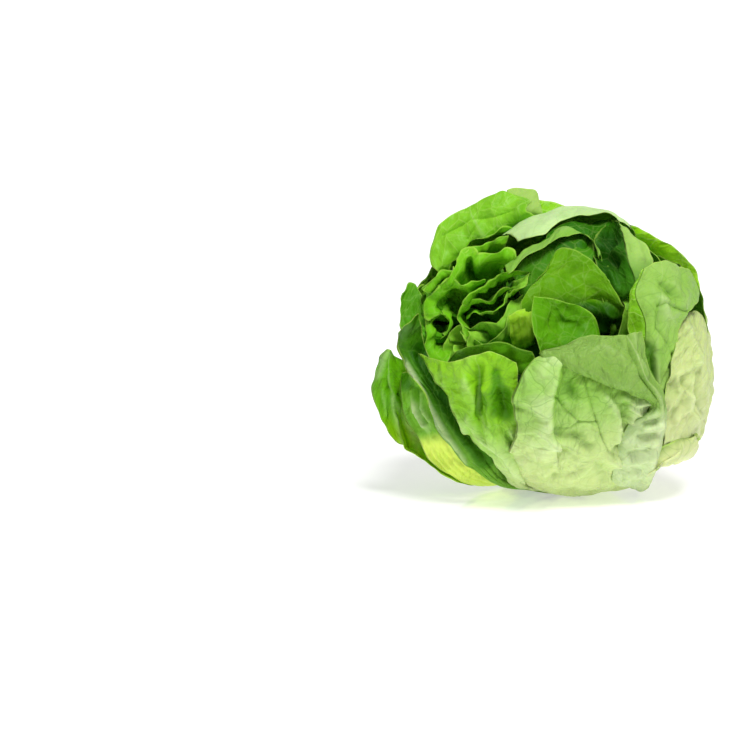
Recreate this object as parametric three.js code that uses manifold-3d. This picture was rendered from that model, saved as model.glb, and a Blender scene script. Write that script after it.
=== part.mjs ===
// A head of butterhead lettuce, lying on its side with its heart turned to the front left. Millimetres, +Z
// up, +X right, +Y away from the front. The origin is under the middle of the head, on the surface that it
// lies on.
//
// The head is a short cut stem, big separate leaves that grow from it and wrap round each other, and a
// dense heart of small leaves. Every point of a leaf is written as [right, up, reach]: how far right of and
// above the head's middle it is seen from the front, and how far it lies from that middle. A negative reach
// is on the far half of the head.

import * as THREE from "three";
import { mergeVertices } from "three/addons/utils/BufferGeometryUtils.js";
import Module from "manifold-3d";

// Driving dimensions
const HEAD_REACH = 78; // from the middle of the head to its outer leaves
const FLAT_DEPTH = 4; // how far the head's weight presses its underside flat
const HEAD_MIDDLE = new THREE.Vector3(2.96, 1.64, HEAD_REACH - FLAT_DEPTH); // puts the origin under the head
const VIEW_TILT = THREE.MathUtils.degToRad(10); // the front view looks down by this much
const BLADE = 1.2; // thickness of a leaf
const RIB = 3.2; // how far a midrib stands out at the foot of a leaf
const RIB_HALF_WIDTH = 6;
const STEM_RADIUS = 13.5;
const STEM_CUT_REACH = 77; // from the middle of the head to the cut face
const STEM_TOP_REACH = 30;
const CLEARANCE = 0.4; // least gap between two pieces
const CORE_RADIUS = 37; // the packed middle that the heart's leaves stand out of
const WAVE = 1.1; // height of the waves along a leaf's margin

// The front view's directions, and the way the head grows, from the stem to the heart
const RIGHT = new THREE.Vector3(1, 0, 0);
const UP = new THREE.Vector3(0, Math.sin(VIEW_TILT), Math.cos(VIEW_TILT));
const TOWARD = new THREE.Vector3(0, -Math.cos(VIEW_TILT), Math.sin(VIEW_TILT));
const GROWTH = along(-0.52, 0.38, 0.76).normalize();
const FOOT = GROWTH.clone().negate();
const DOWN = new THREE.Vector3(0, 0, -1);
const BELOW = DOWN.clone().addScaledVector(FOOT, -DOWN.dot(FOOT)).normalize(); // longitude 0
const BESIDE = FOOT.clone().cross(BELOW); // longitude 90

// The big leaves whose margins are seen, outermost first. Rows run from the foot to the tip, and points
// across a row from left to right as seen from outside the head.
const WRAPPED_LEAVES = {
  right_lower: [
    [[48, -67, 85.5], [59, -59, 87], [71, -51, -90.5]],
    [[53.5, -60.5, 87], [66, -52.5, 89], [75.5, -46, 90]],
    [[55, -55, 86], [66.5, -48, 88], [75.5, -42.5, 88]],
  ],
  front_flap: [
    [[32, -69.5, 80.5], [40, -71, 83], [46.5, -71.5, 85], [52.5, -64.5, 85]],
    [[33, -56.5, 79.6], [43, -55, 82], [52, -53.5, 85], [56, -51.5, 84]],
    [[39.5, -40, 77.8], [47, -38.5, 80.5], [55, -37.5, 84], [58.5, -35.5, 82]],
    [[49, -29, 79], [52, -28.5, 82], [55, -28, 84], [58, -26.5, 83]],
    [[-3.5, -6, 81], [21, -11.5, 86], [45, -13.5, 86], [49, -11.5, 82]],
    [[6, -0.5, 80], [21, 5.5, 82], [37, 5.5, 82], [46, 7, 80]],
  ],
  right_pale: [
    [[48.5, -66.5, 82.5], [58.5, -59, 84], [71, -51.5, -88]],
    [[56, -47.5, 81], [66, -43.5, 84], [77, -40, -87]],
    [[56, -27.5, 79.5], [70, -27.5, 84], [81.5, -27.5, -86.5]],
    [[61, -7.5, 79], [72.5, -7.5, 83], [80.5, -8.5, -82]],
    [[64, 8.5, 77], [71, 12.5, 79], [77, 10, -79]],
    [[66, 15, 76], [71, 16.5, 77], [75, 15.5, -78]],
  ],
  front_wide: [
    [[-14, -66.5, 76], [1, -72.5, 78], [13.5, -74, 78.5], [26, -73, 79.5], [41, -70, 81]],
    [[-20.5, -53.5, 76], [-4, -53.5, 79], [8.5, -55, 78], [29, -53.5, 80], [44, -52.5, 79]],
    [[-16.5, -43.5, 80], [1, -46.5, 80.5], [6, -43.5, 76.5], [25, -40, 79], [46, -37.5, 76]],
    [[-18.5, -27.5, 81], [1, -30, 81.5], [4, -29, 76], [23, -28.5, 78.5], [50, -26.5, 76.5]],
    [[-15, -16, 80.5], [4, -15, 81], [7, -15.5, 76.5], [19, -15, 78], [46, -15, 76]],
    [[-8, -7, 79], [1, -4, 78], [8.5, -3.5, 76], [17, -2.5, 76], [40, 0, 74]],
  ],
  right_round: [
    [[49, -42, 74.5], [51, -42, 75.5], [54, -42.5, 76], [57, -42, 75]],
    [[49.5, -22.5, 76], [52, -22.5, 77], [55, -23.5, 77.5], [59, -21.5, 76.5]],
    [[45, -6.5, 75], [47.5, -6.5, 76.5], [55, -6.5, 79], [62.5, -5.5, 77]],
    [[38.5, 7, 71], [47.5, 11.5, 77.5], [55, 11.5, 80.5], [65, 10.5, 79]],
    [[39.5, 24, 76], [42.5, 25.5, 79.5], [58, 26.5, 84], [75, 24.5, 82]],
    [[45, 35.5, 78.5], [47, 37.5, 79.5], [57, 41.5, 82], [70, 36.5, 82]],
  ],
  right_back: [
    [[66, -8, -77], [60, 5, -77], [52, 14, -77], [43, 24, -76], [34, 32, -75]],
    [[73, 5, -80], [69, 19, -81], [61, 29, -80], [50, 39, -77], [36, 47, -74]],
    [[75.5, 14, -84], [74, 28, -85], [68, 38, -84.5], [55, 47.5, -80], [38, 57, -76]],
    [[76.5, 17, -85.5], [76.5, 31, -87], [72, 41.5, -87.5], [58, 52, -83], [41, 60, -78]],
  ],
  top_back: [
    [[10, 50, -71.5], [2, 52, -72], [-6, 53, -72], [-14, 53, -72]],
    [[-1, 65, -74], [-6, 66.5, -74.5], [-12, 67, -74.5], [-18, 66, -74]],
    [[-4.3, 76.5, -86], [-6, 79, -88], [-12, 79.6, -89], [-20, 78.5, -88]],
  ],
  top_strip: [
    [[20, 48, -69], [8, 52, -69.5], [-4, 53, -69.5], [-12, 53, -69.5]],
    [[18, 60, -71.5], [7, 62, -71.5], [-5, 63, -71.5], [-13, 64, -71.5]],
    [[17.5, 68, -79], [6, 71, -81], [-5, 73, -82.5], [-14, 74, -83.5]],
  ],
  top_band: [
    [[46, 42.5, -73], [32, 50, -69.5], [14, 55, -66.5], [-3, 54, -66.5], [-19, 52.5, -66.5]],
    [[42, 59, -74], [31, 66, -74.5], [12, 68.3, -71.5], [-4, 64.5, -67], [-23, 54.2, -60]],
    [[41, 57.5, -71.5], [29, 64.3, 71], [10, 62.5, 65], [-2, 55, 60], [-15, 52, 57]],
  ],
  upper_left: [
    [[-1.5, 60, -66], [-14, 54, -62], [-26, 46, -60], [-38, 39, -62], [-49, 30, -64]],
    [[-10, 66.5, -69], [-21, 63, -68.5], [-33, 56, -67.5], [-44, 47, -67], [-56, 36, -68.5]],
    [[-9.5, 70.5, -74], [-23, 73, -79], [-38, 65, -78], [-51, 54, -77], [-59.5, 40, -74]],
    [[-8.5, 72.5, -76.5], [-24, 78.5, -85], [-39, 71, -84.5], [-55, 60.5, -85], [-58.5, 44, -77]],
  ],
  front_left: [
    [[-19, -68, 73.5], [-16.5, -69.5, 74.5], [-13, -69.5, 74.5], [-10, -70, 72.5], [-6.5, -70.5, 72]],
    [[-26.5, -58.5, 75], [-21.5, -58.5, 77], [-17.5, -57.5, 77], [-13, -56.5, 74], [-6.5, -55, 73]],
    [[-41, -42.5, 77], [-34, -43.5, 77], [-29, -45, 79], [-21.5, -42.5, 74], [-11.5, -40, 73]],
    [[-49, -28.5, 79], [-40, -30, 81], [-35, -30, 76], [-29, -27.5, 79], [-14, -25, 74]],
    [[-57, -15.5, 79], [-43, -17.5, 82], [-35, -16.5, 78], [-28, -13.5, 80], [-15, -13.5, 76]],
    [[-64.5, -4.5, 78], [-46.5, -8.5, 79], [-36.5, -4.5, 79], [-28, -2, 78], [-16, -8.5, 76]],
  ],
  left_diagonal: [
    [[-28, -68.5, 76], [-23, -69, 75], [-16, -67.5, 70]],
    [[-46, -54.5, 77.5], [-38, -53.5, 75.5], [-26, -52.5, 69]],
    [[-56, -40, 79], [-49, -40, 77], [-36.5, -40, 69]],
    [[-60.5, -25.5, 80], [-55, -26.5, 77], [-46, -27.5, 69]],
    [[-69.5, -13.5, 82], [-64, -13.5, 78.5], [-54, -15, 69]],
    [[-74.5, -1.5, 83], [-70, -0.5, 80.5], [-61.5, 0, 70]],
    [[-74, 6, 84], [-69, 12, 84], [-64, 16.5, 80]],
  ],
  left_under: [
    [[-47, -66.5, 82], [-41, -65, 78], [-33, -62, 72]],
    [[-59, -56.5, 82.5], [-51, -56, 77.5], [-42, -53, 71]],
    [[-65, -46, 81], [-58, -44.5, 76], [-48, -42, 69.5]],
    [[-70.5, -36, 80], [-64, -34, 75.5], [-54, -31, 69]],
    [[-73, -23, 78.5], [-67, -21, 75], [-59, -19, 69.5]],
    [[-73, -13, 76], [-69, -10.5, 74], [-64, -10, 70]],
  ],
  far_left: [
    [[-49, -67, 83.5], [-45, -65, 79], [-39, -62, 74], [-30, -57, 68]],
    [[-61, -59.5, 86], [-57, -55, 79], [-50, -50, 72], [-40, -44, 65]],
    [[-73, -52, 90], [-66, -47, 79.5], [-59.5, -43, 73], [-48, -37, 66]],
    [[-83.5, -38.5, 93], [-76, -34.5, 84], [-67, -33, 76], [-56, -28, 68]],
    [[-87, -24, 91], [-80, -22, 85], [-71, -22, 76], [-60, -19, 67]],
    [[-86.5, -13, 88], [-81, -8.5, 85], [-74, -11, 77], [-66, -11, 69]],
    [[-81, -3, 84], [-79, -2, 83], [-77, -5, 79], [-73, -7, 75]],
  ],
};

// The leaves at the back and underneath, outermost first, by their longitude round the stem, the latitude
// of their tip, half their width and their reach. Angles are in degrees, and latitude 0 is the foot of the
// stem.
const BACK_LEAVES = {
  under: { longitude: 2, tip: 64, halfWidth: 37, reach: 78 },
  back_left: { longitude: 112, tip: 104, halfWidth: 44, reach: 78 },
  back_right: { longitude: -128, tip: 66, halfWidth: 40, reach: 80 },
  back_top: { longitude: 172, tip: 72, halfWidth: 38, reach: 75 },
};

// A leaf like those, inside all the leaves whose margins are seen
const INNER_BACK_LEAVES = {
  left: { longitude: 62, tip: 128, halfWidth: 42, reach: 72 },
};

// The heart's larger leaves
const HEART_LEAVES = {
  sail: [
    [[24, 28, 58], [33, 26, 61], [43, 27, 70], [52, 31, 73.5]],
    [[22, 45, 58], [31, 42.5, 62], [40.8, 41, 72.5], [51.5, 41, 74.5]],
    [[24, 53, 61], [31, 53, 64], [38.5, 52.5, 73.5], [48.5, 48.5, 75]],
    [[29, 61, 67], [32, 62, 68.5], [35.5, 60.5, 73], [41, 55.5, 74]],
  ],
  deep_top: [
    [[34, 44, 54], [24, 40, 50], [12, 38, 48], [0, 36, 46]],
    [[36, 57, 64], [25, 52, 60], [12, 50, 58], [-2, 46, 54]],
    [[35, 63.5, 69], [23, 62, 66], [9, 62, 64], [-1, 56, 60]],
  ],
  inner_front: [
    [[26, -12.5, 66], [11, -15, 68], [-4, -13.5, 70]],
    [[26.5, 5, 60], [10, 0, 64], [-6, -2.5, 74]],
    [[21, 15, 62], [6, 11.5, 58], [-8.5, 10, 75]],
    [[13.5, 20, 64], [3.5, 22.5, 66], [-8.5, 25.5, 74]],
  ],
  inner_centre: [
    [[38.5, 7.5, 52], [28, 6, 50], [16, 5, 50], [3, 6, 53], [-9, 7.5, 56]],
    [[37, 17.5, 62], [26, 20, 56], [13.5, 22.5, 58], [-1.5, 21, 62], [-14, 17.5, 64]],
    [[32, 28.5, 65], [23, 32, 62], [11, 35, 61], [0, 31, 64], [-12.5, 24.5, 66]],
    [[27.5, 35, 66], [21, 42, 66], [13, 47.5, 67], [4.5, 48, 65], [-1, 36.5, 66]],
  ],
  inner_tip: [
    [[30, 5, 50], [36, 6, 50], [41, 8, 50]],
    [[25, 26, 58], [31, 24, 60], [38, 20, 58]],
    [[28, 38, 60], [29, 40, 60], [31, 37, 60]],
  ],
  inner_top: [
    [[28, 27, 48], [19, 27, 48], [8, 27, 48], [-6, 24, 46], [-14, 22, 44]],
    [[27.5, 37, 56], [20, 44, 56], [7, 45, 54], [-6.5, 41.5, 54], [-18, 34.5, 52]],
    [[26, 43, 59], [19.5, 55, 60], [9, 57.5, 60], [-5, 50.5, 57], [-22, 38.5, 54]],
    [[25.5, 42, 60], [18.5, 53.5, 62], [8.5, 54.5, 63], [-4, 46.5, 61], [-20.5, 35.5, 57]],
  ],
  left_page_outer: [
    [[-54, 7.5, 60], [-59, 5, 66], [-66.5, 2.5, 72]],
    [[-61.5, 17.5, 66], [-68, 15, 72], [-74, 10, 77]],
    [[-63.5, 24.5, 70], [-67.5, 32.5, 76], [-73, 26.5, 80]],
  ],
  left_page_inner: [
    [[-49, 17.5, 56], [-54, 17.5, 62], [-61.5, 15, 66]],
    [[-49, 30, 60], [-55, 27.5, 66], [-62, 24, 70]],
    [[-50.5, 37.5, 65], [-56.5, 33, 69], [-64, 28.5, 73]],
  ],
  curl: [
    [[-6.5, 2.5, 54], [-13, 0, 52], [-19, -1.5, 52]],
    [[-7.5, 12.5, 62], [-14, 10, 60], [-20, 7.5, 60]],
    [[-9, 17.5, 66], [-15, 17, 66], [-20.5, 12.5, 65]],
  ],
  behind_left: [
    [[-52, -14, 66], [-36, -13, 67], [-20, -14, 66], [-6, -16, 66]],
    [[-50, -8, 71], [-35, -6, 71], [-20, -8, 70], [-7, -9, 70]],
    [[-45, -2, 74], [-30, 1.5, 74.5], [-18, 0, 73], [-8, -3, 72]],
  ],
};

// The leaves round the heart's opening, by the line of their lips. The rest of a leaf lies deeper, and a
// spread under 1 draws it in towards the middle of the opening, so that its inner face shows.
const OPENING = { right: -33, up: 18 };
const LIP_LEAVES = {
  lip_edge: {
    spread: 0.7,
    line: [[-20, 54, 61], [-26, 53.5, 63], [-32.5, 51, 65], [-38, 49, 67], [-43, 45, 68]],
  },
  lip_lobe: {
    spread: 0.6,
    line: [[-17, 44, 58], [-20.5, 48, 61], [-29, 46.5, 64], [-36.5, 45, 66], [-41, 49, 69], [-46, 41, 70],
      [-50, 34.5, 70], [-56, 29, 70]],
  },
  lip_corner: { spread: 0.7, line: [[-48, 38, 67], [-53, 37, 70], [-58, 33.5, 72], [-63, 27, 74]] },
  lip_second: {
    spread: 0.6,
    line: [[-31, 34.5, 59], [-38, 31, 62], [-43, 29.5, 64], [-49, 32, 67], [-55, 28, 69], [-60, 24, 70],
      [-63, 18, 71], [-60, 13, 69]],
  },
  lip_left: {
    spread: 0.7,
    line: [[-53, 16, 63], [-59, 15, 67], [-62, 9, 69.5], [-61.5, 3, 70], [-62, -3, 70], [-58.5, -8, 69.5],
      [-51, -11, 68]],
  },
  lip_middle: {
    spread: 0.55,
    line: [[-9, 38.5, 53], [-15, 38, 56], [-22, 36, 59], [-27, 33, 61], [-31, 30, 63], [-38, 25.5, 64],
      [-44, 20, 63]],
  },
  lip_low: {
    spread: 0.55,
    line: [[-18, 26.5, 51], [-24, 25, 55], [-29, 21.5, 58], [-35, 23.5, 60], [-41, 20, 61], [-45.5, 14, 61],
      [-43, 8, 59], [-40.5, 2, 57]],
  },
  lip_slip: { spread: 0.6, line: [[-8, 36, 58], [-11.5, 31, 58], [-14, 27.5, 57], [-18, 25.5, 55]] },
  fold_upper: {
    spread: 2,
    line: [[-39.5, 9, 54], [-33, 11.5, 57], [-27, 10.5, 57], [-22, 14.5, 55], [-19.5, 23, 51]],
  },
  fold_lower: {
    spread: 1.5,
    line: [[-38, 4, 58], [-33, 1.5, 61], [-28, 3, 61], [-23, 8, 58], [-19.5, 17, 54]],
  },
};

// The heart's leaves that close the room inside the back leaves, written like BACK_LEAVES
const PACKED_LEAVES = {
  right: { longitude: -104, tip: 112, halfWidth: 34, reach: 62 },
  top: { longitude: -172, tip: 118, halfWidth: 34, reach: 57 },
  back_left: { longitude: 122, tip: 124, halfWidth: 36, reach: 63 },
};

const LEAF_GREEN = 0x7fae3c;
const OUTER_GREEN = 0xb4cf86;
const HEART_GREEN = 0x6f9c2e;
const STEM_CREAM = 0xe4dfbf;

// Points in the front view

function along(right, up, toward) {
  return new THREE.Vector3()
    .addScaledVector(RIGHT, right)
    .addScaledVector(UP, up)
    .addScaledVector(TOWARD, toward);
}

function seen([right, up, reach]) {
  const depth = Math.sqrt(Math.max(reach * reach - right * right - up * up, 0));
  return along(right, up, depth * Math.sign(reach));
}

function around(longitude, latitude, reach) {
  const turn = THREE.MathUtils.degToRad(longitude);
  const rise = THREE.MathUtils.degToRad(latitude);
  return FOOT.clone()
    .multiplyScalar(Math.cos(rise))
    .addScaledVector(BELOW, Math.sin(rise) * Math.cos(turn))
    .addScaledVector(BESIDE, Math.sin(rise) * Math.sin(turn))
    .multiplyScalar(reach);
}

// Leaves. A row is a list of { way, reach }: a unit direction from the head's middle, and a distance along
// it.

const control = (point) => ({ way: point.clone().normalize(), reach: point.length() });
const rowsOf = (points) => points.map((row) => row.map((p) => control(seen(p))));

// Rows from the stem to a leaf's first row, so that the leaf grows out of the stem's side.
const ROOT_REACH = 72; // where the outermost leaf leaves the stem
const ROOT_STEP = 1.6; // from one leaf's foot to the next one's, up the stem
const ROOT_HALF_TURN = 0.42; // half the stem's turn that a leaf's foot takes, in radians
const STEP = THREE.MathUtils.degToRad(38); // between the rows that are added

function rowsFromStem(first, order) {
  const middle = first[(first.length - 1) >> 1].way;
  const rootReach = ROOT_REACH - ROOT_STEP * order;
  const lean = Math.atan((STEM_RADIUS + CLEARANCE + BLADE) / rootReach);
  const side = middle.clone().addScaledVector(FOOT, -middle.dot(FOOT)).normalize();
  const across = side.clone().cross(FOOT);
  const roots = first.map((_, j) => {
    const turn = ROOT_HALF_TURN * ((2 * j) / (first.length - 1) - 1);
    return FOOT.clone()
      .multiplyScalar(Math.cos(lean))
      .addScaledVector(side, Math.sin(lean) * Math.cos(turn))
      .addScaledVector(across, Math.sin(lean) * Math.sin(turn));
  });
  const count = Math.max(1, Math.round(roots[(roots.length - 1) >> 1].angleTo(middle) / STEP));
  const rows = [];
  for (let i = 0; i < count; i++) {
    const share = i / count;
    const rise = Math.sin((share * Math.PI) / 2);
    rows.push(
      first.map((c, j) => {
        const angle = roots[j].angleTo(c.way);
        const way = roots[j]
          .clone()
          .multiplyScalar(Math.sin((1 - share) * angle))
          .addScaledVector(c.way, Math.sin(share * angle))
          .normalize();
        return { way, reach: rootReach + (c.reach - rootReach) * rise };
      }),
    );
  }
  return rows;
}

// A smooth curve's value at a place between its controls, with its tangents scaled by PULL.
const PULL = 0.42;

function blend(controls, at, mix) {
  const last = controls.length - 1;
  const i = Math.min(Math.floor(at), last - 1);
  const f = at - i;
  const [f2, f3] = [f * f, f * f * f];
  const startTangent = PULL * (f3 - 2 * f2 + f);
  const endTangent = PULL * (f3 - f2);
  const weights = [0, 2 * f3 - 3 * f2 + 1, -2 * f3 + 3 * f2, 0];
  // Beyond either end the curve goes on straight
  if (i > 0) {
    weights[0] -= startTangent;
    weights[2] += startTangent;
  } else {
    weights[1] -= 2 * startTangent;
    weights[2] += 2 * startTangent;
  }
  if (i < last - 1) {
    weights[1] -= endTangent;
    weights[3] += endTangent;
  } else {
    weights[1] -= 2 * endTangent;
    weights[2] += 2 * endTangent;
  }
  const picked = weights.map((weight, k) => [controls[Math.min(Math.max(i + k - 1, 0), last)], weight]);
  return mix(picked);
}

const mixControls = (picked) => ({
  way: picked.reduce((sum, [c, weight]) => sum.addScaledVector(c.way, weight), new THREE.Vector3()),
  reach: picked.reduce((sum, [c, weight]) => sum + c.reach * weight, 0),
});

// The leaf's middle surface as a grid of points, rows by columns.
function surface(rows, rowCount, columnCount, waves) {
  const grid = [];
  for (let i = 0; i <= rowCount; i++) {
    const alongLeaf = i / rowCount;
    const points = [];
    for (let j = 0; j <= columnCount; j++) {
      const acrossLeaf = j / columnCount;
      const strip = rows.map((row) => blend(row, acrossLeaf * (row.length - 1), mixControls));
      const { way, reach } = blend(strip, alongLeaf * (rows.length - 1), mixControls);
      const margin = Math.max(Math.abs(2 * acrossLeaf - 1), 2 * alongLeaf - 1);
      const wave = WAVE * margin ** 4 * Math.sin(2 * Math.PI * (waves * (alongLeaf + acrossLeaf)));
      points.push(way.normalize().multiplyScalar(reach + (i === 0 ? 0 : wave)).add(HEAD_MIDDLE));
    }
    grid.push(points);
  }
  return grid;
}

// A leaf as a closed thin solid round its middle surface. The outer face carries the midrib, and grow makes
// the solid bigger every way, for the room that its neighbours leave it.
function leafSolid(grid, ribHeight, grow = 0) {
  const rowCount = grid.length - 1;
  const columnCount = grid[0].length - 1;
  const clampRow = (i) => Math.min(Math.max(i, 0), rowCount);
  const clampColumn = (j) => Math.min(Math.max(j, 0), columnCount);
  const outer = [];
  const inner = [];
  for (let i = 0; i <= rowCount; i++) {
    const middle = grid[i][columnCount / 2];
    for (let j = 0; j <= columnCount; j++) {
      const alongWay = grid[clampRow(i + 1)][j].clone().sub(grid[clampRow(i - 1)][j]).normalize();
      const acrossWay = grid[i][clampColumn(j + 1)].clone().sub(grid[i][clampColumn(j - 1)]).normalize();
      const normal = acrossWay.clone().cross(alongWay).normalize();
      const point = grid[i][j].clone();
      if (j === 0) point.addScaledVector(acrossWay, -grow);
      if (j === columnCount) point.addScaledVector(acrossWay, grow);
      if (i === 0) point.addScaledVector(alongWay, -grow);
      if (i === rowCount) point.addScaledVector(alongWay, grow);
      const offRib = grid[i][j].distanceTo(middle) / RIB_HALF_WIDTH;
      const rib = ribHeight * (1 - i / rowCount) * Math.exp(-offRib * offRib);
      outer.push(point.clone().addScaledVector(normal, BLADE / 2 + rib + grow));
      inner.push(point.clone().addScaledVector(normal, -BLADE / 2 - grow));
    }
  }
  for (const p of outer) p.z = Math.max(p.z, -grow);
  for (const p of inner) p.z = Math.max(p.z, BLADE + grow);
  return closedSheet(outer, inner, rowCount, columnCount);
}

function closedSheet(outer, inner, rowCount, columnCount) {
  const width = columnCount + 1;
  const count = outer.length;
  const triangles = [];
  const quad = (a, b, c, d) => triangles.push(a, b, c, a, c, d);
  for (let i = 0; i < rowCount; i++) {
    for (let j = 0; j < columnCount; j++) {
      const a = i * width + j;
      const [b, c, d] = [a + 1, a + width + 1, a + width];
      quad(a, b, c, d);
      triangles.push(count + a, count + c, count + b, count + a, count + d, count + c);
    }
  }
  const edge = [];
  for (let j = 0; j < columnCount; j++) edge.push(j);
  for (let i = 0; i < rowCount; i++) edge.push(i * width + columnCount);
  for (let j = columnCount; j > 0; j--) edge.push(rowCount * width + j);
  for (let i = rowCount; i > 0; i--) edge.push(i * width);
  edge.forEach((a, k) => {
    const b = edge[(k + 1) % edge.length];
    quad(b, a, count + a, count + b);
  });
  return solidFrom([...outer, ...inner], triangles);
}

// Solids

const wasm = await Module();
wasm.setup();

function solidFrom(points, triangles) {
  const vertProperties = new Float32Array(points.flatMap((p) => [p.x, p.y, p.z]));
  const triVerts = new Uint32Array(triangles);
  return new wasm.Manifold(new wasm.Mesh({ numProp: 3, vertProperties, triVerts }));
}

function solidOf(geometry) {
  const bare = geometry.clone().deleteAttribute("normal").deleteAttribute("uv");
  const merged = mergeVertices(bare, 1e-3);
  return new wasm.Manifold(
    new wasm.Mesh({
      numProp: 3,
      vertProperties: new Float32Array(merged.attributes.position.array),
      triVerts: new Uint32Array(merged.index.array),
    }),
  );
}

function geometryOf(solid) {
  const mesh = solid.getMesh();
  return new THREE.BufferGeometry()
    .setAttribute("position", new THREE.BufferAttribute(new Float32Array(mesh.vertProperties), 3))
    .setIndex(new THREE.BufferAttribute(new Uint32Array(mesh.triVerts), 1));
}

// The largest body of a solid, without the scraps that cutting leaves.
const wholeOf = (solid) => solid.decompose().reduce((best, s) => (s.volume() > best.volume() ? s : best));

// Takes from a solid the room of the pieces that lie over it.
function clearOf(solid, rooms) {
  const crossing = rooms.filter((room) => solid.intersect(room).volume() > 1e-4);
  return wholeOf(crossing.reduce((rest, room) => rest.subtract(room), solid));
}

// The stem: a stub with a cut end, standing along FOOT
const STEM_SIDES = 20;
const CUT_BEVEL = 1.5;

function stemSolid(grow = 0) {
  const radius = STEM_RADIUS + grow;
  const profile = [
    [0, STEM_TOP_REACH - grow],
    [radius * 0.6, STEM_TOP_REACH - grow],
    [radius, STEM_TOP_REACH + 8],
    [radius, STEM_CUT_REACH - CUT_BEVEL],
    [radius - CUT_BEVEL, STEM_CUT_REACH + grow],
    [0, STEM_CUT_REACH + grow],
  ].map(([x, y]) => new THREE.Vector2(x, y));
  const stub = new THREE.LatheGeometry(profile, STEM_SIDES);
  stub.applyQuaternion(new THREE.Quaternion().setFromUnitVectors(new THREE.Vector3(0, 1, 0), FOOT));
  stub.translate(HEAD_MIDDLE.x, HEAD_MIDDLE.y, HEAD_MIDDLE.z);
  return solidOf(stub);
}

// Big leaves
const BIG_WAVES = 3;
const OUTLINE = [
  [0.36, 0.66],
  [0.7, 1],
  [0.92, 0.82],
  [1, 0.46],
]; // rows of a leaf, as shares of the way to its tip and of its half width

function wrappingRows({ longitude, tip, halfWidth, reach }) {
  return OUTLINE.map(([share, width]) => {
    const latitude = share * tip;
    const halfTurn = (halfWidth * width) / Math.sin(THREE.MathUtils.degToRad(latitude));
    return [1, 0.5, 0, -0.5, -1].map((side) => {
      const sag = 1.5 * side * side;
      return control(around(longitude + side * halfTurn, latitude, reach - sag));
    });
  });
}

function bigLeafGrid(rows, order) {
  const all = [...rowsFromStem(rows[0], order), ...rows];
  return surface(all, Math.round(all.length * 1.2), 2 * (rows[0].length - 1), BIG_WAVES);
}

// The heart
const SUNK_REACH = 34; // where a heart leaf's foot lies, inside the core
const WHORL_LEAVES = 5;
const WHORL_TURN = THREE.MathUtils.degToRad(137.5);
const WHORL_MIDDLE = along(-46, 2, 41).normalize();
const HEART_MIDDLE = along(-33, 9, 33).normalize(); // where the heart's leaves lean to

function heartLeaf(rows) {
  const foot = rows[0].map(({ way }) => ({
    way: way.clone().lerp(HEART_MIDDLE, 0.2).addScaledVector(FOOT, 0.15).normalize(),
    reach: SUNK_REACH,
  }));
  const columns = Math.max(4, rows[0].length % 2 ? rows[0].length - 1 : rows[0].length);
  return leafSolid(surface([foot, ...rows], rows.length, columns, 2), 0);
}

function lipRows({ spread, line }) {
  const steps = [
    [spread, 15],
    [(1 + spread) / 2, 5],
    [1, 0],
  ];
  return steps.map(([share, sunk]) =>
    line.map(([right, up, reach]) => {
      const inward = [
        OPENING.right + (right - OPENING.right) * share,
        OPENING.up + (up - OPENING.up) * share,
      ];
      return control(seen([...inward, reach - sunk]));
    }),
  );
}

// The innermost leaves: short arcs round the whorl's middle, each a golden turn from the last.
function whorlLeafRows(index) {
  const side = WHORL_MIDDLE.clone().cross(UP).normalize();
  const above = side.clone().cross(WHORL_MIDDLE);
  const radius = 1.5 + 1.4 * index;
  const turn = index * WHORL_TURN;
  return [0.75, 1, 1.15].map((spread, step) =>
    [-1, -0.5, 0, 0.5, 1].map((place) => {
      const angle = turn - place * 1.05;
      const out = radius * spread * (1 + 0.12 * Math.cos(5 * place + index));
      const point = WHORL_MIDDLE.clone()
        .multiplyScalar(45 + 8 * step - 1.5 * place * place)
        .addScaledVector(side, out * Math.cos(angle))
        .addScaledVector(above, out * Math.sin(angle));
      return control(point);
    }),
  );
}

function heartSolid() {
  const core = new THREE.SphereGeometry(CORE_RADIUS, 14, 8);
  core.translate(HEAD_MIDDLE.x, HEAD_MIDDLE.y, HEAD_MIDDLE.z);
  const leaves = [
    ...Object.values(PACKED_LEAVES).map(wrappingRows),
    ...Object.values(HEART_LEAVES).map(rowsOf),
    ...Object.values(LIP_LEAVES).map(lipRows),
  ];
  for (let index = 1; index <= WHORL_LEAVES; index++) leaves.push(whorlLeafRows(index));
  return leaves.reduce((whole, rows) => whole.add(heartLeaf(rows)), solidOf(core));
}

// The head

const head = new THREE.Group();
const rooms = [];

function addPiece(name, whole, room, color) {
  const solid = clearOf(whole, rooms);
  rooms.push(room.add(solid));
  const piece = new THREE.Mesh(
    geometryOf(solid),
    new THREE.MeshStandardMaterial({ color, roughness: 0.5, metalness: 0 }),
  );
  piece.name = name;
  head.add(piece);
}

function addBigLeaves(leaves, color) {
  for (const [name, rows] of leaves) {
    const grid = bigLeafGrid(rows, rooms.length - 1);
    addPiece(`leaf_${name}`, leafSolid(grid, RIB), leafSolid(grid, RIB, CLEARANCE), color);
  }
}

addPiece("stem", stemSolid(), stemSolid(CLEARANCE), STEM_CREAM);
const wrappingLeaves = (leaves) => Object.entries(leaves).map(([name, leaf]) => [name, wrappingRows(leaf)]);
addBigLeaves(wrappingLeaves(BACK_LEAVES), OUTER_GREEN);
addBigLeaves(
  Object.entries(WRAPPED_LEAVES).map(([name, points]) => [name, rowsOf(points)]),
  LEAF_GREEN,
);
addBigLeaves(wrappingLeaves(INNER_BACK_LEAVES), OUTER_GREEN);
const heart = heartSolid();
addPiece("heart", heart, heart, HEART_GREEN);

export default head;
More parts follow.
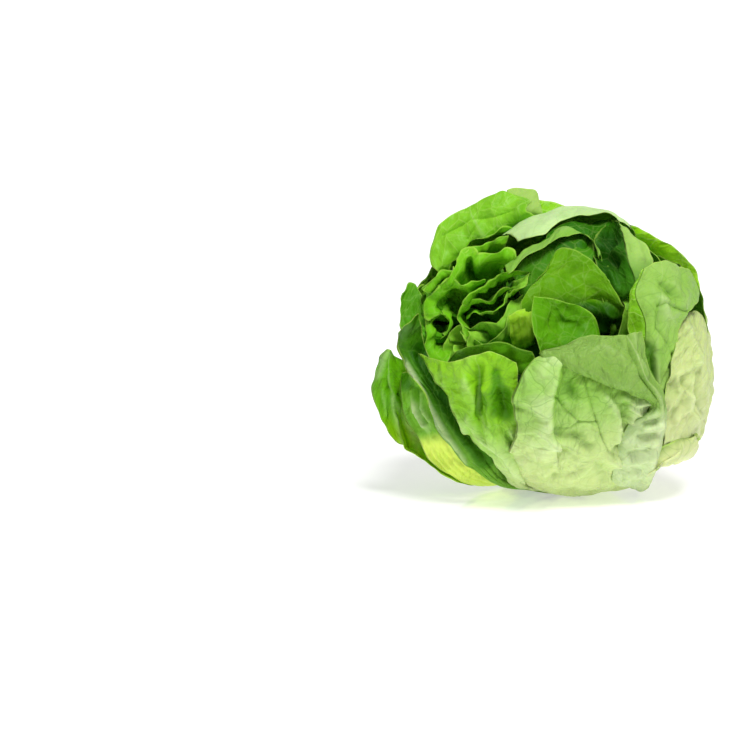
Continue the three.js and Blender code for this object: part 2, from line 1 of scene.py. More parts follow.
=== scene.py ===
"""The look of a head of butterhead lettuce that lies on its side, with its heart to the front left.

Shapes are worked out in millimetres and made in metres. A point of a leaf is (right, up, reach): how far it
is right of and above the head's middle as seen from the front, and how far it lies from that middle. A
negative reach is on the far half of the head.
"""

import math

import bpy
import numpy as np
from mathutils import Matrix, Vector


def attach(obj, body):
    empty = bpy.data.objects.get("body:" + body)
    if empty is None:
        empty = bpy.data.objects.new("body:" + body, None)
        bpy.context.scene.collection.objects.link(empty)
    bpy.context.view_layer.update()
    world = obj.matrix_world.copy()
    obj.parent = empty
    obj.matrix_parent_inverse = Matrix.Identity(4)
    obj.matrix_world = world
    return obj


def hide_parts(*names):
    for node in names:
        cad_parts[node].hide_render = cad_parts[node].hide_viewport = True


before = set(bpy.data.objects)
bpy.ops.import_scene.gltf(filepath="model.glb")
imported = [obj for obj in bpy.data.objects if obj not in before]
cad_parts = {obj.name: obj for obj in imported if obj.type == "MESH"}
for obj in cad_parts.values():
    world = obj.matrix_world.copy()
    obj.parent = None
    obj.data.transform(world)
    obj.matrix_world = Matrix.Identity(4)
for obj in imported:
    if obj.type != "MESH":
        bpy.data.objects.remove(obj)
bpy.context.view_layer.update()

# The head's frame, as in the solids
MM = 0.001
HEAD_MIDDLE = np.array((2.96, 1.64, 74.0))
VIEW_TILT = math.radians(10)
RIGHT = np.array((1.0, 0.0, 0.0))
UP = np.array((0.0, math.sin(VIEW_TILT), math.cos(VIEW_TILT)))
TOWARD = np.array((0.0, -math.cos(VIEW_TILT), math.sin(VIEW_TILT)))


def unit(v):
    return v / np.linalg.norm(v, axis=-1, keepdims=True)


GROWTH = unit(-0.52 * RIGHT + 0.38 * UP + 0.76 * TOWARD)  # from the stem to the heart
FOOT = -GROWTH
BELOW = unit(np.array((0.0, 0.0, -1.0)) + FOOT[2] * FOOT)  # longitude 0 round the stem
BESIDE = np.cross(FOOT, BELOW)  # longitude 90

STEM_RADIUS = 13.5
STEM_CUT_REACH = 77
STEM_TOP_REACH = 30
ROOT_REACH = 72  # where the outermost leaf leaves the stem
ROOT_STEP = 1.6  # from one leaf's foot to the next one's, up the stem
ROOT_HALF_TURN = 0.42  # half the stem's turn that a leaf's foot takes, in radians
ROOT_GAP = 1.6  # from the stem's side to the middle of a leaf's foot
ROW_ANGLE = math.radians(38)  # about how far apart the rows between the stem and a leaf lie
SUNK_REACH = 34  # where a heart leaf's foot lies
CORE_RADIUS = 36
WHORL_MIDDLE = unit(-46 * RIGHT + 2 * UP + 41 * TOWARD)
HEART_MIDDLE = unit(-33 * RIGHT + 9 * UP + 33 * TOWARD)  # where the heart's leaves lean to
WHORL_TURN = math.radians(137.5)

# Leaves whose margins are seen, outermost first. Rows run from the foot to the tip, and points across a row
# from left to right as seen from outside the head.
WRAPPED_LEAVES = {
    "right_lower": [
        [(48, -67, 85.5), (59, -59, 87), (71, -51, -90.5)],
        [(53.5, -60.5, 87), (66, -52.5, 89), (75.5, -46, 90)],
        [(55, -55, 86), (66.5, -48, 88), (75.5, -42.5, 88)],
    ],
    "front_flap": [
        [(32, -69.5, 80.5), (40, -71, 83), (46.5, -71.5, 85), (52.5, -64.5, 85)],
        [(33, -56.5, 79.6), (43, -55, 82), (52, -53.5, 85), (56, -51.5, 84)],
        [(39.5, -40, 77.8), (47, -38.5, 80.5), (55, -37.5, 84), (58.5, -35.5, 82)],
        [(49, -29, 79), (52, -28.5, 82), (55, -28, 84), (58, -26.5, 83)],
        [(-3.5, -6, 81), (21, -11.5, 86), (45, -13.5, 86), (49, -11.5, 82)],
        [(6, -0.5, 80), (21, 5.5, 82), (37, 5.5, 82), (46, 7, 80)],
    ],
    "right_pale": [
        [(48.5, -66.5, 82.5), (58.5, -59, 84), (71, -51.5, -88)],
        [(56, -47.5, 81), (66, -43.5, 84), (77, -40, -87)],
        [(56, -27.5, 79.5), (70, -27.5, 84), (81.5, -27.5, -86.5)],
        [(61, -7.5, 79), (72.5, -7.5, 83), (80.5, -8.5, -82)],
        [(64, 8.5, 77), (71, 12.5, 79), (77, 10, -79)],
        [(66, 15, 76), (71, 16.5, 77), (75, 15.5, -78)],
    ],
    "front_wide": [
        [(-14, -66.5, 76), (1, -72.5, 78), (13.5, -74, 78.5), (26, -73, 79.5), (41, -70, 81)],
        [(-20.5, -53.5, 76), (-4, -53.5, 79), (8.5, -55, 78), (29, -53.5, 80), (44, -52.5, 79)],
        [(-16.5, -43.5, 80), (1, -46.5, 80.5), (6, -43.5, 76.5), (25, -40, 79), (46, -37.5, 76)],
        [(-18.5, -27.5, 81), (1, -30, 81.5), (4, -29, 76), (23, -28.5, 78.5), (50, -26.5, 76.5)],
        [(-15, -16, 80.5), (4, -15, 81), (7, -15.5, 76.5), (19, -15, 78), (46, -15, 76)],
        [(-8, -7, 79), (1, -4, 78), (8.5, -3.5, 76), (17, -2.5, 76), (40, 0, 74)],
    ],
    "right_round": [
        [(49, -42, 74.5), (51, -42, 75.5), (54, -42.5, 76), (57, -42, 75)],
        [(49.5, -22.5, 76), (52, -22.5, 77), (55, -23.5, 77.5), (59, -21.5, 76.5)],
        [(45, -6.5, 75), (47.5, -6.5, 76.5), (55, -6.5, 79), (62.5, -5.5, 77)],
        [(38.5, 7, 71), (47.5, 11.5, 77.5), (55, 11.5, 80.5), (65, 10.5, 79)],
        [(39.5, 24, 76), (42.5, 25.5, 79.5), (58, 26.5, 84), (75, 24.5, 82)],
        [(45, 35.5, 78.5), (47, 37.5, 79.5), (57, 41.5, 82), (70, 36.5, 82)],
    ],
    "right_back": [
        [(66, -8, -77), (60, 5, -77), (52, 14, -77), (43, 24, -76), (34, 32, -75)],
        [(73, 5, -80), (69, 19, -81), (61, 29, -80), (50, 39, -77), (36, 47, -74)],
        [(75.5, 14, -84), (74, 28, -85), (68, 38, -84.5), (55, 47.5, -80), (38, 57, -76)],
        [(76.5, 17, -85.5), (76.5, 31, -87), (72, 41.5, -87.5), (58, 52, -83), (41, 60, -78)],
    ],
    "top_back": [
        [(10, 50, -71.5), (2, 52, -72), (-6, 53, -72), (-14, 53, -72)],
        [(-1, 65, -74), (-6, 66.5, -74.5), (-12, 67, -74.5), (-18, 66, -74)],
        [(-4.3, 76.5, -86), (-6, 79, -88), (-12, 79.6, -89), (-20, 78.5, -88)],
    ],
    "top_strip": [
        [(20, 48, -69), (8, 52, -69.5), (-4, 53, -69.5), (-12, 53, -69.5)],
        [(18, 60, -71.5), (7, 62, -71.5), (-5, 63, -71.5), (-13, 64, -71.5)],
        [(17.5, 68, -79), (6, 71, -81), (-5, 73, -82.5), (-14, 74, -83.5)],
    ],
    "top_band": [
        [(46, 42.5, -73), (32, 50, -69.5), (14, 55, -66.5), (-3, 54, -66.5), (-19, 52.5, -66.5)],
        [(42, 59, -74), (31, 66, -74.5), (12, 68.3, -71.5), (-4, 64.5, -67), (-23, 54.2, -60)],
        [(41, 57.5, -71.5), (29, 64.3, 71), (10, 62.5, 65), (-2, 55, 60), (-15, 52, 57)],
    ],
    "upper_left": [
        [(-1.5, 60, -66), (-14, 54, -62), (-26, 46, -60), (-38, 39, -62), (-49, 30, -64)],
        [(-10, 66.5, -69), (-21, 63, -68.5), (-33, 56, -67.5), (-44, 47, -67), (-56, 36, -68.5)],
        [(-9.5, 70.5, -74), (-23, 73, -79), (-38, 65, -78), (-51, 54, -77), (-59.5, 40, -74)],
        [(-8.5, 72.5, -76.5), (-24, 78.5, -85), (-39, 71, -84.5), (-55, 60.5, -85), (-58.5, 44, -77)],
    ],
    "front_left": [
        [(-19, -68, 73.5), (-16.5, -69.5, 74.5), (-13, -69.5, 74.5), (-10, -70, 72.5), (-6.5, -70.5, 72)],
        [(-26.5, -58.5, 75), (-21.5, -58.5, 77), (-17.5, -57.5, 77), (-13, -56.5, 74), (-6.5, -55, 73)],
        [(-41, -42.5, 77), (-34, -43.5, 77), (-29, -45, 79), (-21.5, -42.5, 74), (-11.5, -40, 73)],
        [(-49, -28.5, 79), (-40, -30, 81), (-35, -30, 76), (-29, -27.5, 79), (-14, -25, 74)],
        [(-57, -15.5, 79), (-43, -17.5, 82), (-35, -16.5, 78), (-28, -13.5, 80), (-15, -13.5, 76)],
        [(-64.5, -4.5, 78), (-46.5, -8.5, 79), (-36.5, -4.5, 79), (-28, -2, 78), (-16, -8.5, 76)],
    ],
    "left_diagonal": [
        [(-28, -68.5, 76), (-23, -69, 75), (-16, -67.5, 70)],
        [(-46, -54.5, 77.5), (-38, -53.5, 75.5), (-26, -52.5, 69)],
        [(-56, -40, 79), (-49, -40, 77), (-36.5, -40, 69)],
        [(-60.5, -25.5, 80), (-55, -26.5, 77), (-46, -27.5, 69)],
        [(-69.5, -13.5, 82), (-64, -13.5, 78.5), (-54, -15, 69)],
        [(-74.5, -1.5, 83), (-70, -0.5, 80.5), (-61.5, 0, 70)],
        [(-74, 6, 84), (-69, 12, 84), (-64, 16.5, 80)],
    ],
    "left_under": [
        [(-47, -66.5, 82), (-41, -65, 78), (-33, -62, 72)],
        [(-59, -56.5, 82.5), (-51, -56, 77.5), (-42, -53, 71)],
        [(-65, -46, 81), (-58, -44.5, 76), (-48, -42, 69.5)],
        [(-70.5, -36, 80), (-64, -34, 75.5), (-54, -31, 69)],
        [(-73, -23, 78.5), (-67, -21, 75), (-59, -19, 69.5)],
        [(-73, -13, 76), (-69, -10.5, 74), (-64, -10, 70)],
    ],
    "far_left": [
        [(-49, -67, 83.5), (-45, -65, 79), (-39, -62, 74), (-30, -57, 68)],
        [(-61, -59.5, 86), (-57, -55, 79), (-50, -50, 72), (-40, -44, 65)],
        [(-73, -52, 90), (-66, -47, 79.5), (-59.5, -43, 73), (-48, -37, 66)],
        [(-83.5, -38.5, 93), (-76, -34.5, 84), (-67, -33, 76), (-56, -28, 68)],
        [(-87, -24, 91), (-80, -22, 85), (-71, -22, 76), (-60, -19, 67)],
        [(-86.5, -13, 88), (-81, -8.5, 85), (-74, -11, 77), (-66, -11, 69)],
        [(-81, -3, 84), (-79, -2, 83), (-77, -5, 79), (-73, -7, 75)],
    ],
}

HEART_LEAVES = {
    "sail": [
        [(24, 28, 58), (33, 26, 61), (43, 27, 70), (52, 31, 73.5)],
        [(22, 45, 58), (31, 42.5, 62), (40.8, 41, 72.5), (51.5, 41, 74.5)],
        [(24, 53, 61), (31, 53, 64), (38.5, 52.5, 73.5), (48.5, 48.5, 75)],
        [(29, 61, 67), (32, 62, 68.5), (35.5, 60.5, 73), (41, 55.5, 74)],
    ],
    "deep_top": [
        [(34, 44, 54), (24, 40, 50), (12, 38, 48), (0, 36, 46)],
        [(36, 57, 64), (25, 52, 60), (12, 50, 58), (-2, 46, 54)],
        [(35, 63.5, 69), (23, 62, 66), (9, 62, 64), (-1, 56, 60)],
    ],
    "inner_front": [
        [(26, -12.5, 66), (11, -15, 68), (-4, -13.5, 70)],
        [(26.5, 5, 60), (10, 0, 64), (-6, -2.5, 74)],
        [(21, 15, 62), (6, 11.5, 58), (-8.5, 10, 75)],
        [(13.5, 20, 64), (3.5, 22.5, 66), (-8.5, 25.5, 74)],
    ],
    "inner_centre": [
        [(38.5, 7.5, 52), (28, 6, 50), (16, 5, 50), (3, 6, 53), (-9, 7.5, 56)],
        [(37, 17.5, 62), (26, 20, 56), (13.5, 22.5, 58), (-1.5, 21, 62), (-14, 17.5, 64)],
        [(32, 28.5, 65), (23, 32, 62), (11, 35, 61), (0, 31, 64), (-12.5, 24.5, 66)],
        [(27.5, 35, 66), (21, 42, 66), (13, 47.5, 67), (4.5, 48, 65), (-1, 36.5, 66)],
    ],
    "inner_tip": [
        [(30, 5, 50), (36, 6, 50), (41, 8, 50)],
        [(25, 26, 58), (31, 24, 60), (38, 20, 58)],
        [(28, 38, 60), (29, 40, 60), (31, 37, 60)],
    ],
    "inner_top": [
        [(28, 27, 48), (19, 27, 48), (8, 27, 48), (-6, 24, 46), (-14, 22, 44)],
        [(27.5, 37, 56), (20, 44, 56), (7, 45, 54), (-6.5, 41.5, 54), (-18, 34.5, 52)],
        [(26, 43, 59), (19.5, 55, 60), (9, 57.5, 60), (-5, 50.5, 57), (-22, 38.5, 54)],
        [(25.5, 42, 60), (18.5, 53.5, 62), (8.5, 54.5, 63), (-4, 46.5, 61), (-20.5, 35.5, 57)],
    ],
    "left_page_outer": [
        [(-54, 7.5, 60), (-59, 5, 66), (-66.5, 2.5, 72)],
        [(-61.5, 17.5, 66), (-68, 15, 72), (-74, 10, 77)],
        [(-63.5, 24.5, 70), (-67.5, 32.5, 76), (-73, 26.5, 80)],
    ],
    "left_page_inner": [
        [(-49, 17.5, 56), (-54, 17.5, 62), (-61.5, 15, 66)],
        [(-49, 30, 60), (-55, 27.5, 66), (-62, 24, 70)],
        [(-50.5, 37.5, 65), (-56.5, 33, 69), (-64, 28.5, 73)],
    ],
    "curl": [
        [(-6.5, 2.5, 54), (-13, 0, 52), (-19, -1.5, 52)],
        [(-7.5, 12.5, 62), (-14, 10, 60), (-20, 7.5, 60)],
        [(-9, 17.5, 66), (-15, 17, 66), (-20.5, 12.5, 65)],
    ],
    "behind_left": [
        [(-52, -14, 66), (-36, -13, 67), (-20, -14, 66), (-6, -16, 66)],
        [(-50, -8, 71), (-35, -6, 71), (-20, -8, 70), (-7, -9, 70)],
        [(-45, -2, 74), (-30, 1.5, 74.5), (-18, 0, 73), (-8, -3, 72)],
    ],
}

# The leaves round the heart's opening, by the line of their lips. The rest of a leaf lies deeper, and a
# spread under 1 draws it in towards the middle of the opening, so that its inner face shows.
OPENING = np.array((-33, 18))  # right and up
LIP_LEAVES = {
    "lip_edge": (0.7, [(-20, 54, 61), (-26, 53.5, 63), (-32.5, 51, 65), (-38, 49, 67), (-43, 45, 68)]),
    "lip_lobe": (0.6, [(-17, 44, 58), (-20.5, 48, 61), (-29, 46.5, 64), (-36.5, 45, 66), (-41, 49, 69),
                       (-46, 41, 70), (-50, 34.5, 70), (-56, 29, 70)]),
    "lip_corner": (0.7, [(-48, 38, 67), (-53, 37, 70), (-58, 33.5, 72), (-63, 27, 74)]),
    "lip_second": (0.6, [(-31, 34.5, 59), (-38, 31, 62), (-43, 29.5, 64), (-49, 32, 67), (-55, 28, 69),
                         (-60, 24, 70), (-63, 18, 71), (-60, 13, 69)]),
    "lip_left": (0.7, [(-53, 16, 63), (-59, 15, 67), (-62, 9, 69.5), (-61.5, 3, 70), (-62, -3, 70),
                       (-58.5, -8, 69.5), (-51, -11, 68)]),
    "lip_middle": (0.55, [(-9, 38.5, 53), (-15, 38, 56), (-22, 36, 59), (-27, 33, 61), (-31, 30, 63),
                          (-38, 25.5, 64), (-44, 20, 63)]),
    "lip_low": (0.55, [(-18, 26.5, 51), (-24, 25, 55), (-29, 21.5, 58), (-35, 23.5, 60), (-41, 20, 61),
                       (-45.5, 14, 61), (-43, 8, 59), (-40.5, 2, 57)]),
    "lip_slip": (0.6, [(-8, 36, 58), (-11.5, 31, 58), (-14, 27.5, 57), (-18, 25.5, 55)]),
    "fold_upper": (2, [(-39.5, 9, 54), (-33, 11.5, 57), (-27, 10.5, 57), (-22, 14.5, 55), (-19.5, 23, 51)]),
    "fold_lower": (1.5, [(-38, 4, 58), (-33, 1.5, 61), (-28, 3, 61), (-23, 8, 58), (-19.5, 17, 54)]),
    "fold_inner": (1.3, [(-41, 13, 55), (-36, 17, 57), (-29, 16, 57), (-24, 20, 55), (-20, 27, 51)]),
    "fold_left": (0.7, [(-58, 22, 64), (-53, 19, 62), (-51, 13, 61), (-52, 7, 62), (-55, 2, 63)]),
}

# The leaves at the back and underneath, outermost first, by their longitude round the stem, the latitude of
# their tip, half their width and their reach. Angles are in degrees, and latitude 0 is the foot of the
# stem.
BACK_LEAVES = {
    "under": (2, 64, 37, 78),
    "back_left": (112, 104, 44, 78),
    "back_right": (-128, 66, 40, 80),
    "back_top": (172, 72, 38, 75),
}
# A leaf like those, inside all the leaves whose margins are seen
INNER_BACK_LEAVES = {
    "left": (62, 128, 42, 72),
}
# The heart's leaves that close the room inside the back leaves
PACKED_LEAVES = {
    "packed_right": (-104, 112, 34, 62),
    "packed_top": (-172, 118, 34, 57),
    "packed_back": (122, 124, 36, 63),
    "packed_left": (66, 126, 36, 58),
    "packed_low": (-30, 130, 44, 60),
}
# A back leaf's outline, as shares of the way to its tip and of its half width
OUTLINE = ((0.36, 0.66), (0.7, 1), (0.92, 0.82), (1, 0.46))
WHORL_LEAVES = 5

# How each leaf looks. Colours are of the outer face, the inner face and the foot; green_from and green_to
# are the shares of its length between which the foot's colour gives way to the blade's. Left of the share
# turned, the leaf shows its inner colour: where it is folded over, its inner green, and on the sail, painted
# shade. Its points are fine mm apart.
LOOK = {
    "outer": "8cbc48", "inner": "6aa818", "foot": "d6dfa8", "green_from": 0.15, "green_to": 0.62,
    "turned": 0, "rib": 3.0, "rib_at": 0.5, "rib_pale": 0.6, "pleats": 0.6, "pleat_count": 5,
    "blisters": 0.5, "ruffle": 0.6, "curl": 0.5, "veins": 0.3, "spacing": 13.0, "ragged": 0.5,
    "edge": 0.5, "crumple": 0.7, "shine": 0.18, "fine": 1.5,
}
NO_RIB = {"rib": 0, "rib_pale": 0}
LOOKS = {
    "under": {"outer": "c4d488"},
    "back_left": {"outer": "92bc52"},
    "back_right": {"outer": "b0c878"},
    "back_top": {"outer": "8cb84c"},
    "left": {"outer": "80b040"},
    "right_lower": NO_RIB | {
        "outer": "c6d08e", "foot": "d4d8a4", "green_to": 0.9, "crumple": 0.4, "curl": -2.6, "fine": 0.9,
    },
    "front_flap": {
        "outer": "84aa4c", "inner": "7ab412", "foot": "c0d29c", "green_from": 0.42, "green_to": 0.66,
        "rib_at": 0.72, "rib": 1.2, "rib_pale": 0.2, "pleats": 0.3, "ruffle": 0.1, "curl": 0, "edge": 0.2,
        "blisters": 0.8, "crumple": 0.9, "fine": 0.8,
    },
    "right_pale": NO_RIB | {
        "outer": "bccc80", "foot": "ccd698", "green_to": 0.95, "pleats": 0.5, "veins": 0.15,
        "blisters": 0.9, "curl": 0.1, "fine": 0.8,
    },
    "front_wide": NO_RIB | {
        "outer": "90c24a", "foot": "c6d790", "green_from": 0.3, "green_to": 0.85, "pleats": 0.3,
        "blisters": 1.1, "ruffle": 0.3, "veins": 0.4, "crumple": 0.9, "fine": 0.8,
    },
    "right_round": {
        "outer": "8fba50", "inner": "74b00c", "foot": "b4cf7c", "turned": 0.33, "ruffle": 0.4, "rib": 0.6,
        "rib_at": 0.62, "rib_pale": 0.1, "crumple": 0.5, "fine": 0.8,
    },
    # Its bright yellow-green inner face and foot are partly painted light, the glow where light shines
    # through the leaf.
    "right_back": NO_RIB | {"outer": "a6cc64", "inner": "a4e41c", "foot": "98d818", "veins": 0.5},
    "top_band": NO_RIB | {
        "outer": "c4e49c", "inner": "5a9c10", "foot": "c4e49c", "veins": 0.15, "crumple": 0.3,
    },
    "top_back": NO_RIB | {
        "outer": "c4e49c", "inner": "a0c460", "foot": "c4e49c", "veins": 0.1, "crumple": 0.3,
    },
    "top_strip": NO_RIB | {"outer": "a6cc64", "inner": "88c81c", "foot": "68ac10"},
    "upper_left": {
        "outer": "92bc52", "inner": "82c424", "foot": "4f9410", "rib": 0.5, "rib_pale": 0.15, "veins": 0.22,
        "crumple": 0.5, "fine": 0.9,
    },
    # Its yellow foot is partly painted light, the glow where light shines through the leaf, brightened
    # against the shade where it faces down.
    "far_left": {
        "outer": "68b00c", "foot": "bcf010", "green_from": 0.42, "green_to": 0.7,
        "rib": 1.2, "rib_at": 0.4, "rib_pale": 0.15, "shine": 0.08, "fine": 0.9,
    },
    "front_left": {
        "outer": "88c41c", "foot": "ccdf98", "green_from": 0.22, "green_to": 0.68, "rib": 0.5,
        "rib_pale": 0.1, "blisters": 0.9, "crumple": 0.9, "fine": 0.8,
    },
    # Its deep green outer colour is painted shade, for the side that curves inward.
    "left_diagonal": {
        "outer": "3c7608", "foot": "80b83c", "rib": 0.4, "rib_pale": 0, "shine": 0.08, "fine": 0.9,
    },
    # Its pale yellow foot is partly painted light, the glow where light shines through the leaf.
    "left_under": NO_RIB | {
        "outer": "74b424", "inner": "74b424", "foot": "e2fa68", "green_from": 0.5, "green_to": 0.6,
        "veins": 0.05, "fine": 0.9,
    },
}
HEART_LOOK = NO_RIB | {
    "outer": "84c034", "inner": "72bc18", "foot": "4c940c", "green_from": 0.15, "green_to": 0.65,
    "pleats": 0.9, "pleat_count": 4, "blisters": 0.9, "ruffle": 1.5, "spacing": 11.0, "veins": 0.12,
    "edge": 0.3, "crumple": 0.4, "shine": 0.08, "fine": 1.1,
}
HEART_LOOKS = {
    # The sail is not folded over: its deep green inner colour left of the share turned is painted shade on
    # the flank that faces away from the light.
    "sail": {
        "outer": "9cc460", "inner": "2a6406", "foot": "3c7c10", "turned": 0.62, "ruffle": 0.4, "veins": 0.06,
    },
    "inner_front": {"outer": "569808", "inner": "569808", "foot": "3c7c06", "ruffle": 0.3, "veins": 0.1},
    # Its dark foot is painted shade deep in the heart.
    "inner_centre": {
        "outer": "5e980a", "inner": "5e980a", "foot": "286006", "green_from": 0.3, "ruffle": 0.4,
        "veins": 0.1,
    },
    "inner_tip": {"inner": "60a00a", "ruffle": 0.3},
    "inner_top": {"outer": "86ba48", "inner": "468810", "foot": "468810", "green_to": 0.4, "ruffle": 0.5},
    "deep_top": {"inner": "2f7008", "ruffle": 0.5},
    "behind_left": {"outer": "5ea40c", "ruffle": 0.5},
    "curl": {
        "outer": "b0dc38", "inner": "a4d830", "foot": "78a818", "green_to": 0.6, "ruffle": 2.4,
        "blisters": 1.2,
    },
    "left_page_outer": {"outer": "559a14", "inner": "559a14", "ruffle": 2.2},
    "left_page_inner": {"outer": "60a818", "inner": "60a818", "ruffle": 2.0},
    "whorl": {"outer": "90c83c", "inner": "80bc2c", "foot": "4c9010", "ruffle": 1.1},
}

# Folds that stand out of a leaf, or hollows where the height is negative: width and height in mm, then the
# line that they follow as (right, up).
FOLDS = {
    "front_wide": [
        (0.8, -1.6, [(17, -16), (19, -23.5), (21.5, -32), (24, -39), (27, -48), (30, -54), (36, -56.5)]),
        (0.8, -1.4, [(2, -25), (8.5, -32.5), (14.5, -38), (23.5, -39)]),
        (0.8, -1, [(14.5, -38), (9.5, -41.5), (2.5, -41.5)]),
        (3.2, -2.8, [(3.5, -44.5), (11, -45), (19, -51)]),
        (1.8, 2.6, [(2.5, -48.5), (9, -49.5), (18, -54.5)]),
        (1.5, 2.6, [(37, -25.5), (42.5, -29.5), (50.5, -28.5)]),
        (1.4, 2.4, [(39.5, -30.5), (45, -34.5), (51, -34.5)]),
        (1.4, 2.4, [(39.5, -37.5), (43.5, -41), (50, -40)]),
        (1.3, 1.9, [(40, -44.5), (43, -48)]),
        (2, -3.5, [(39, -36), (39.5, -43), (41.5, -48.5)]),
        (2, 3.2, [(28, -25.5), (31.5, -30.5), (34.2, -36), (34.2, -48)]),
        (1.8, -3.2, [(37, -30), (36.5, -48)]),
        (3.5, -3.5, [(35.5, -52), (38, -53)]),
        (4.5, -1.6, [(24, -61), (29, -63)]),
        (2.5, -2.6, [(3, -65), (7, -66)]),
        (1.4, 1.9, [(29, -55.5), (35, -60), (41, -61.5)]),
        (1.6, 1.9, [(6, -66.5), (14, -65), (21.5, -60)]),
        (1.4, 1.9, [(-17.5, -43.5), (-6.5, -41), (-1, -44.5), (2.5, -48.5)]),
        (1.2, -1.4, [(-17.5, -30.5), (-13.5, -32)]),
        (1.6, 1.4, [(-15.5, -29), (-10, -29.5), (-1, -34.5)]),
        (2.4, -1.6, [(10, -20), (12, -27)]),
        (3, 1.9, [(8, -27), (16, -29)]),
    ],
    "front_left": [
        (2.2, -3, [(-35.5, -11), (-35, -27), (-36, -35.5)]),
        (1.8, 2.9, [(-31.5, -22), (-29.5, -27.5), (-29.5, -40)]),
        (3, -2.8, [(-27, -14), (-25, -24), (-22, -35)]),
        (3.5, -3.8, [(-22, -26), (-21, -33)]),
        (2, 2.9, [(-40, -36), (-35.5, -44), (-23, -53.5), (-13, -67)]),
        (1.5, 2.2, [(-26, -38.5), (-21, -40), (-17, -45.5)]),
        (1.5, 1.9, [(-52, -18.5), (-46, -33), (-40.5, -42.5)]),
        (2.2, 2.2, [(-42, -17.5), (-38.5, -27.5), (-37, -35.5)]),
    ],
    "front_flap": [
        (0.9, -1.6, [(38.5, 7.5), (40.5, -4.5), (46, -16.5), (54, -27.5)]),
        (1.2, 1.3, [(41, 7.5), (43, -4.5), (48.5, -15)]),
        (3.5, -1.4, [(27, -9), (32, -12)]),
        (2.5, 1.4, [(21, -3), (25, -1), (31, -2), (36, -7)]),
        (3, -1.6, [(33, -1), (35, 1)]),
        (1.5, 2.8, [(49, -36), (54, -34)]),
        (1.5, -1.6, [(47.5, -39), (53, -37.5)]),
        (1.5, 2.6, [(47, -42), (55, -40)]),
        (1.5, -1.6, [(45, -46), (53, -44)]),
        (1.5, 2.4, [(44, -50), (53, -47)]),
        (1.8, -1.4, [(41, -54.5), (51, -51.5)]),
        (1.5, 1.8, [(40, -59), (51, -56)]),
        (1.6, 1.4, [(36, -68), (45, -63)]),
        (3.2, -2.2, [(30.5, -73), (32, -62), (33, -55), (37, -45), (42, -36), (47, -31)]),
    ],
    "right_round": [
        (0.9, -1.6, [(54, 32.5), (59.5, 29), (63.5, 23), (63.5, 18), (68, 17)]),
        (0.9, -1.3, [(63.5, 18), (57, 21), (54, 19)]),
        (0.8, -1.3, [(53.5, 20), (53, 8), (59.5, 0.5), (61.5, -6.5), (56, -20.5)]),
        (2.6, -2.6, [(56.5, 30), (60, 26)]),
        (4, 2.6, [(57, 22), (58, 14)]),
        (3.5, -3.5, [(49, -2), (51, -13)]),
        (1.8, 1.9, [(61, 30), (66.5, 24), (67, 18)]),
    ],
    "right_pale": [
        (1.5, 2.2, [(68.5, 8), (75, -5), (70, -19), (70.5, -30.5), (74, -36)]),
        (1.3, 1.7, [(63, -15.5), (69.5, -12), (74, -9)]),
        (1.3, 1.9, [(66.5, -22.5), (69.5, -26), (68.5, -32), (63, -38)]),
        (1.3, 1.6, [(63.5, -17), (64.5, -24), (59, -32)]),
        (1.8, -1.8, [(66, -16), (66.5, -20)]),
        (2, -1.2, [(66, -28), (61, -36)]),
        (1.6, -1.5, [(72.5, -14), (73, -26), (76, -33)]),
        (1.5, -1.4, [(60.5, -20), (58.5, -29)]),
        (1.6, 1.2, [(77.5, -12), (78, -25)]),
        (5, 1.2, [(55, -49), (64, -46), (74, -43)]),
    ],
    "right_lower": [
        (1.6, 1.4, [(54, -49), (66.5, -45), (74, -42)]),
        (1.6, -1.2, [(56, -55), (66, -50), (73, -45)]),
        (1.4, 1, [(57, -60), (68, -54), (75, -48)]),
    ],
    "far_left": [
        (1.2, 2.6, [(-78, -25), (-76.5, -40), (-73.5, -52)]),
        (1.6, -2.6, [(-74.5, -25), (-73, -38), (-68, -50)]),
        (2, -2.9, [(-81, -17), (-80, -21)]),
        (1.2, 1.6, [(-82, -22), (-81.5, -35)]),
    ],
    "left_under": [
        (1, 2.4, [(-67.5, -22), (-66, -32.5), (-62, -40)]),
        (1, 2.2, [(-63, -23.5), (-63, -31), (-59, -37)]),
        (1.2, -2, [(-65.4, -22), (-64.6, -31), (-61, -38)]),
    ],
    "left_diagonal": [
        (1.5, 2.2, [(-70, -10), (-60, -27), (-52, -42), (-40, -58)]),
        (2, -3.8, [(-64, -5), (-54, -24), (-44, -42), (-33, -56)]),
    ],
    "upper_left": [
        (3, -2.6, [(-12, 70), (-22, 60), (-30, 54)]),
        (0.9, 1.1, [(-17, 67), (-27, 64), (-38, 63), (-52, 55)]),
        (0.9, 1, [(-34, 63), (-40, 53)]),
    ],
    "inner_centre": [
        (1.2, 2.2, [(17, 21.5), (23, 23), (29, 22), (36, 17)]),
        (3.5, -4.8, [(20, 17), (30, 16)]),
        (0.8, 1.3, [(9.5, 46), (8.5, 39), (1, 35)]),
    ],
    "sail": [
        (2.5, 3, [(24, 50), (31, 44), (36, 47)]),
        (3, -4, [(25, 46), (32, 41)]),
        (2, 2.5, [(30, 36), (34, 28)]),
    ],
    "inner_front": [
        (0.8, 1, [(3, 22), (0, 10), (6, 2)]),
        (2.5, -1.9, [(6, 14), (14, 12)]),
    ],
}

# Folds whose left side lies over their right side: the step's height, the width over which the left side
# comes back down to the leaf, and the fold's line.
OVERLAPS = {
    "front_wide": [(3.5, 12, [(5, -11), (3.4, -20.5), (1, -30.5), (1, -37.5), (2.5, -47)])],
}
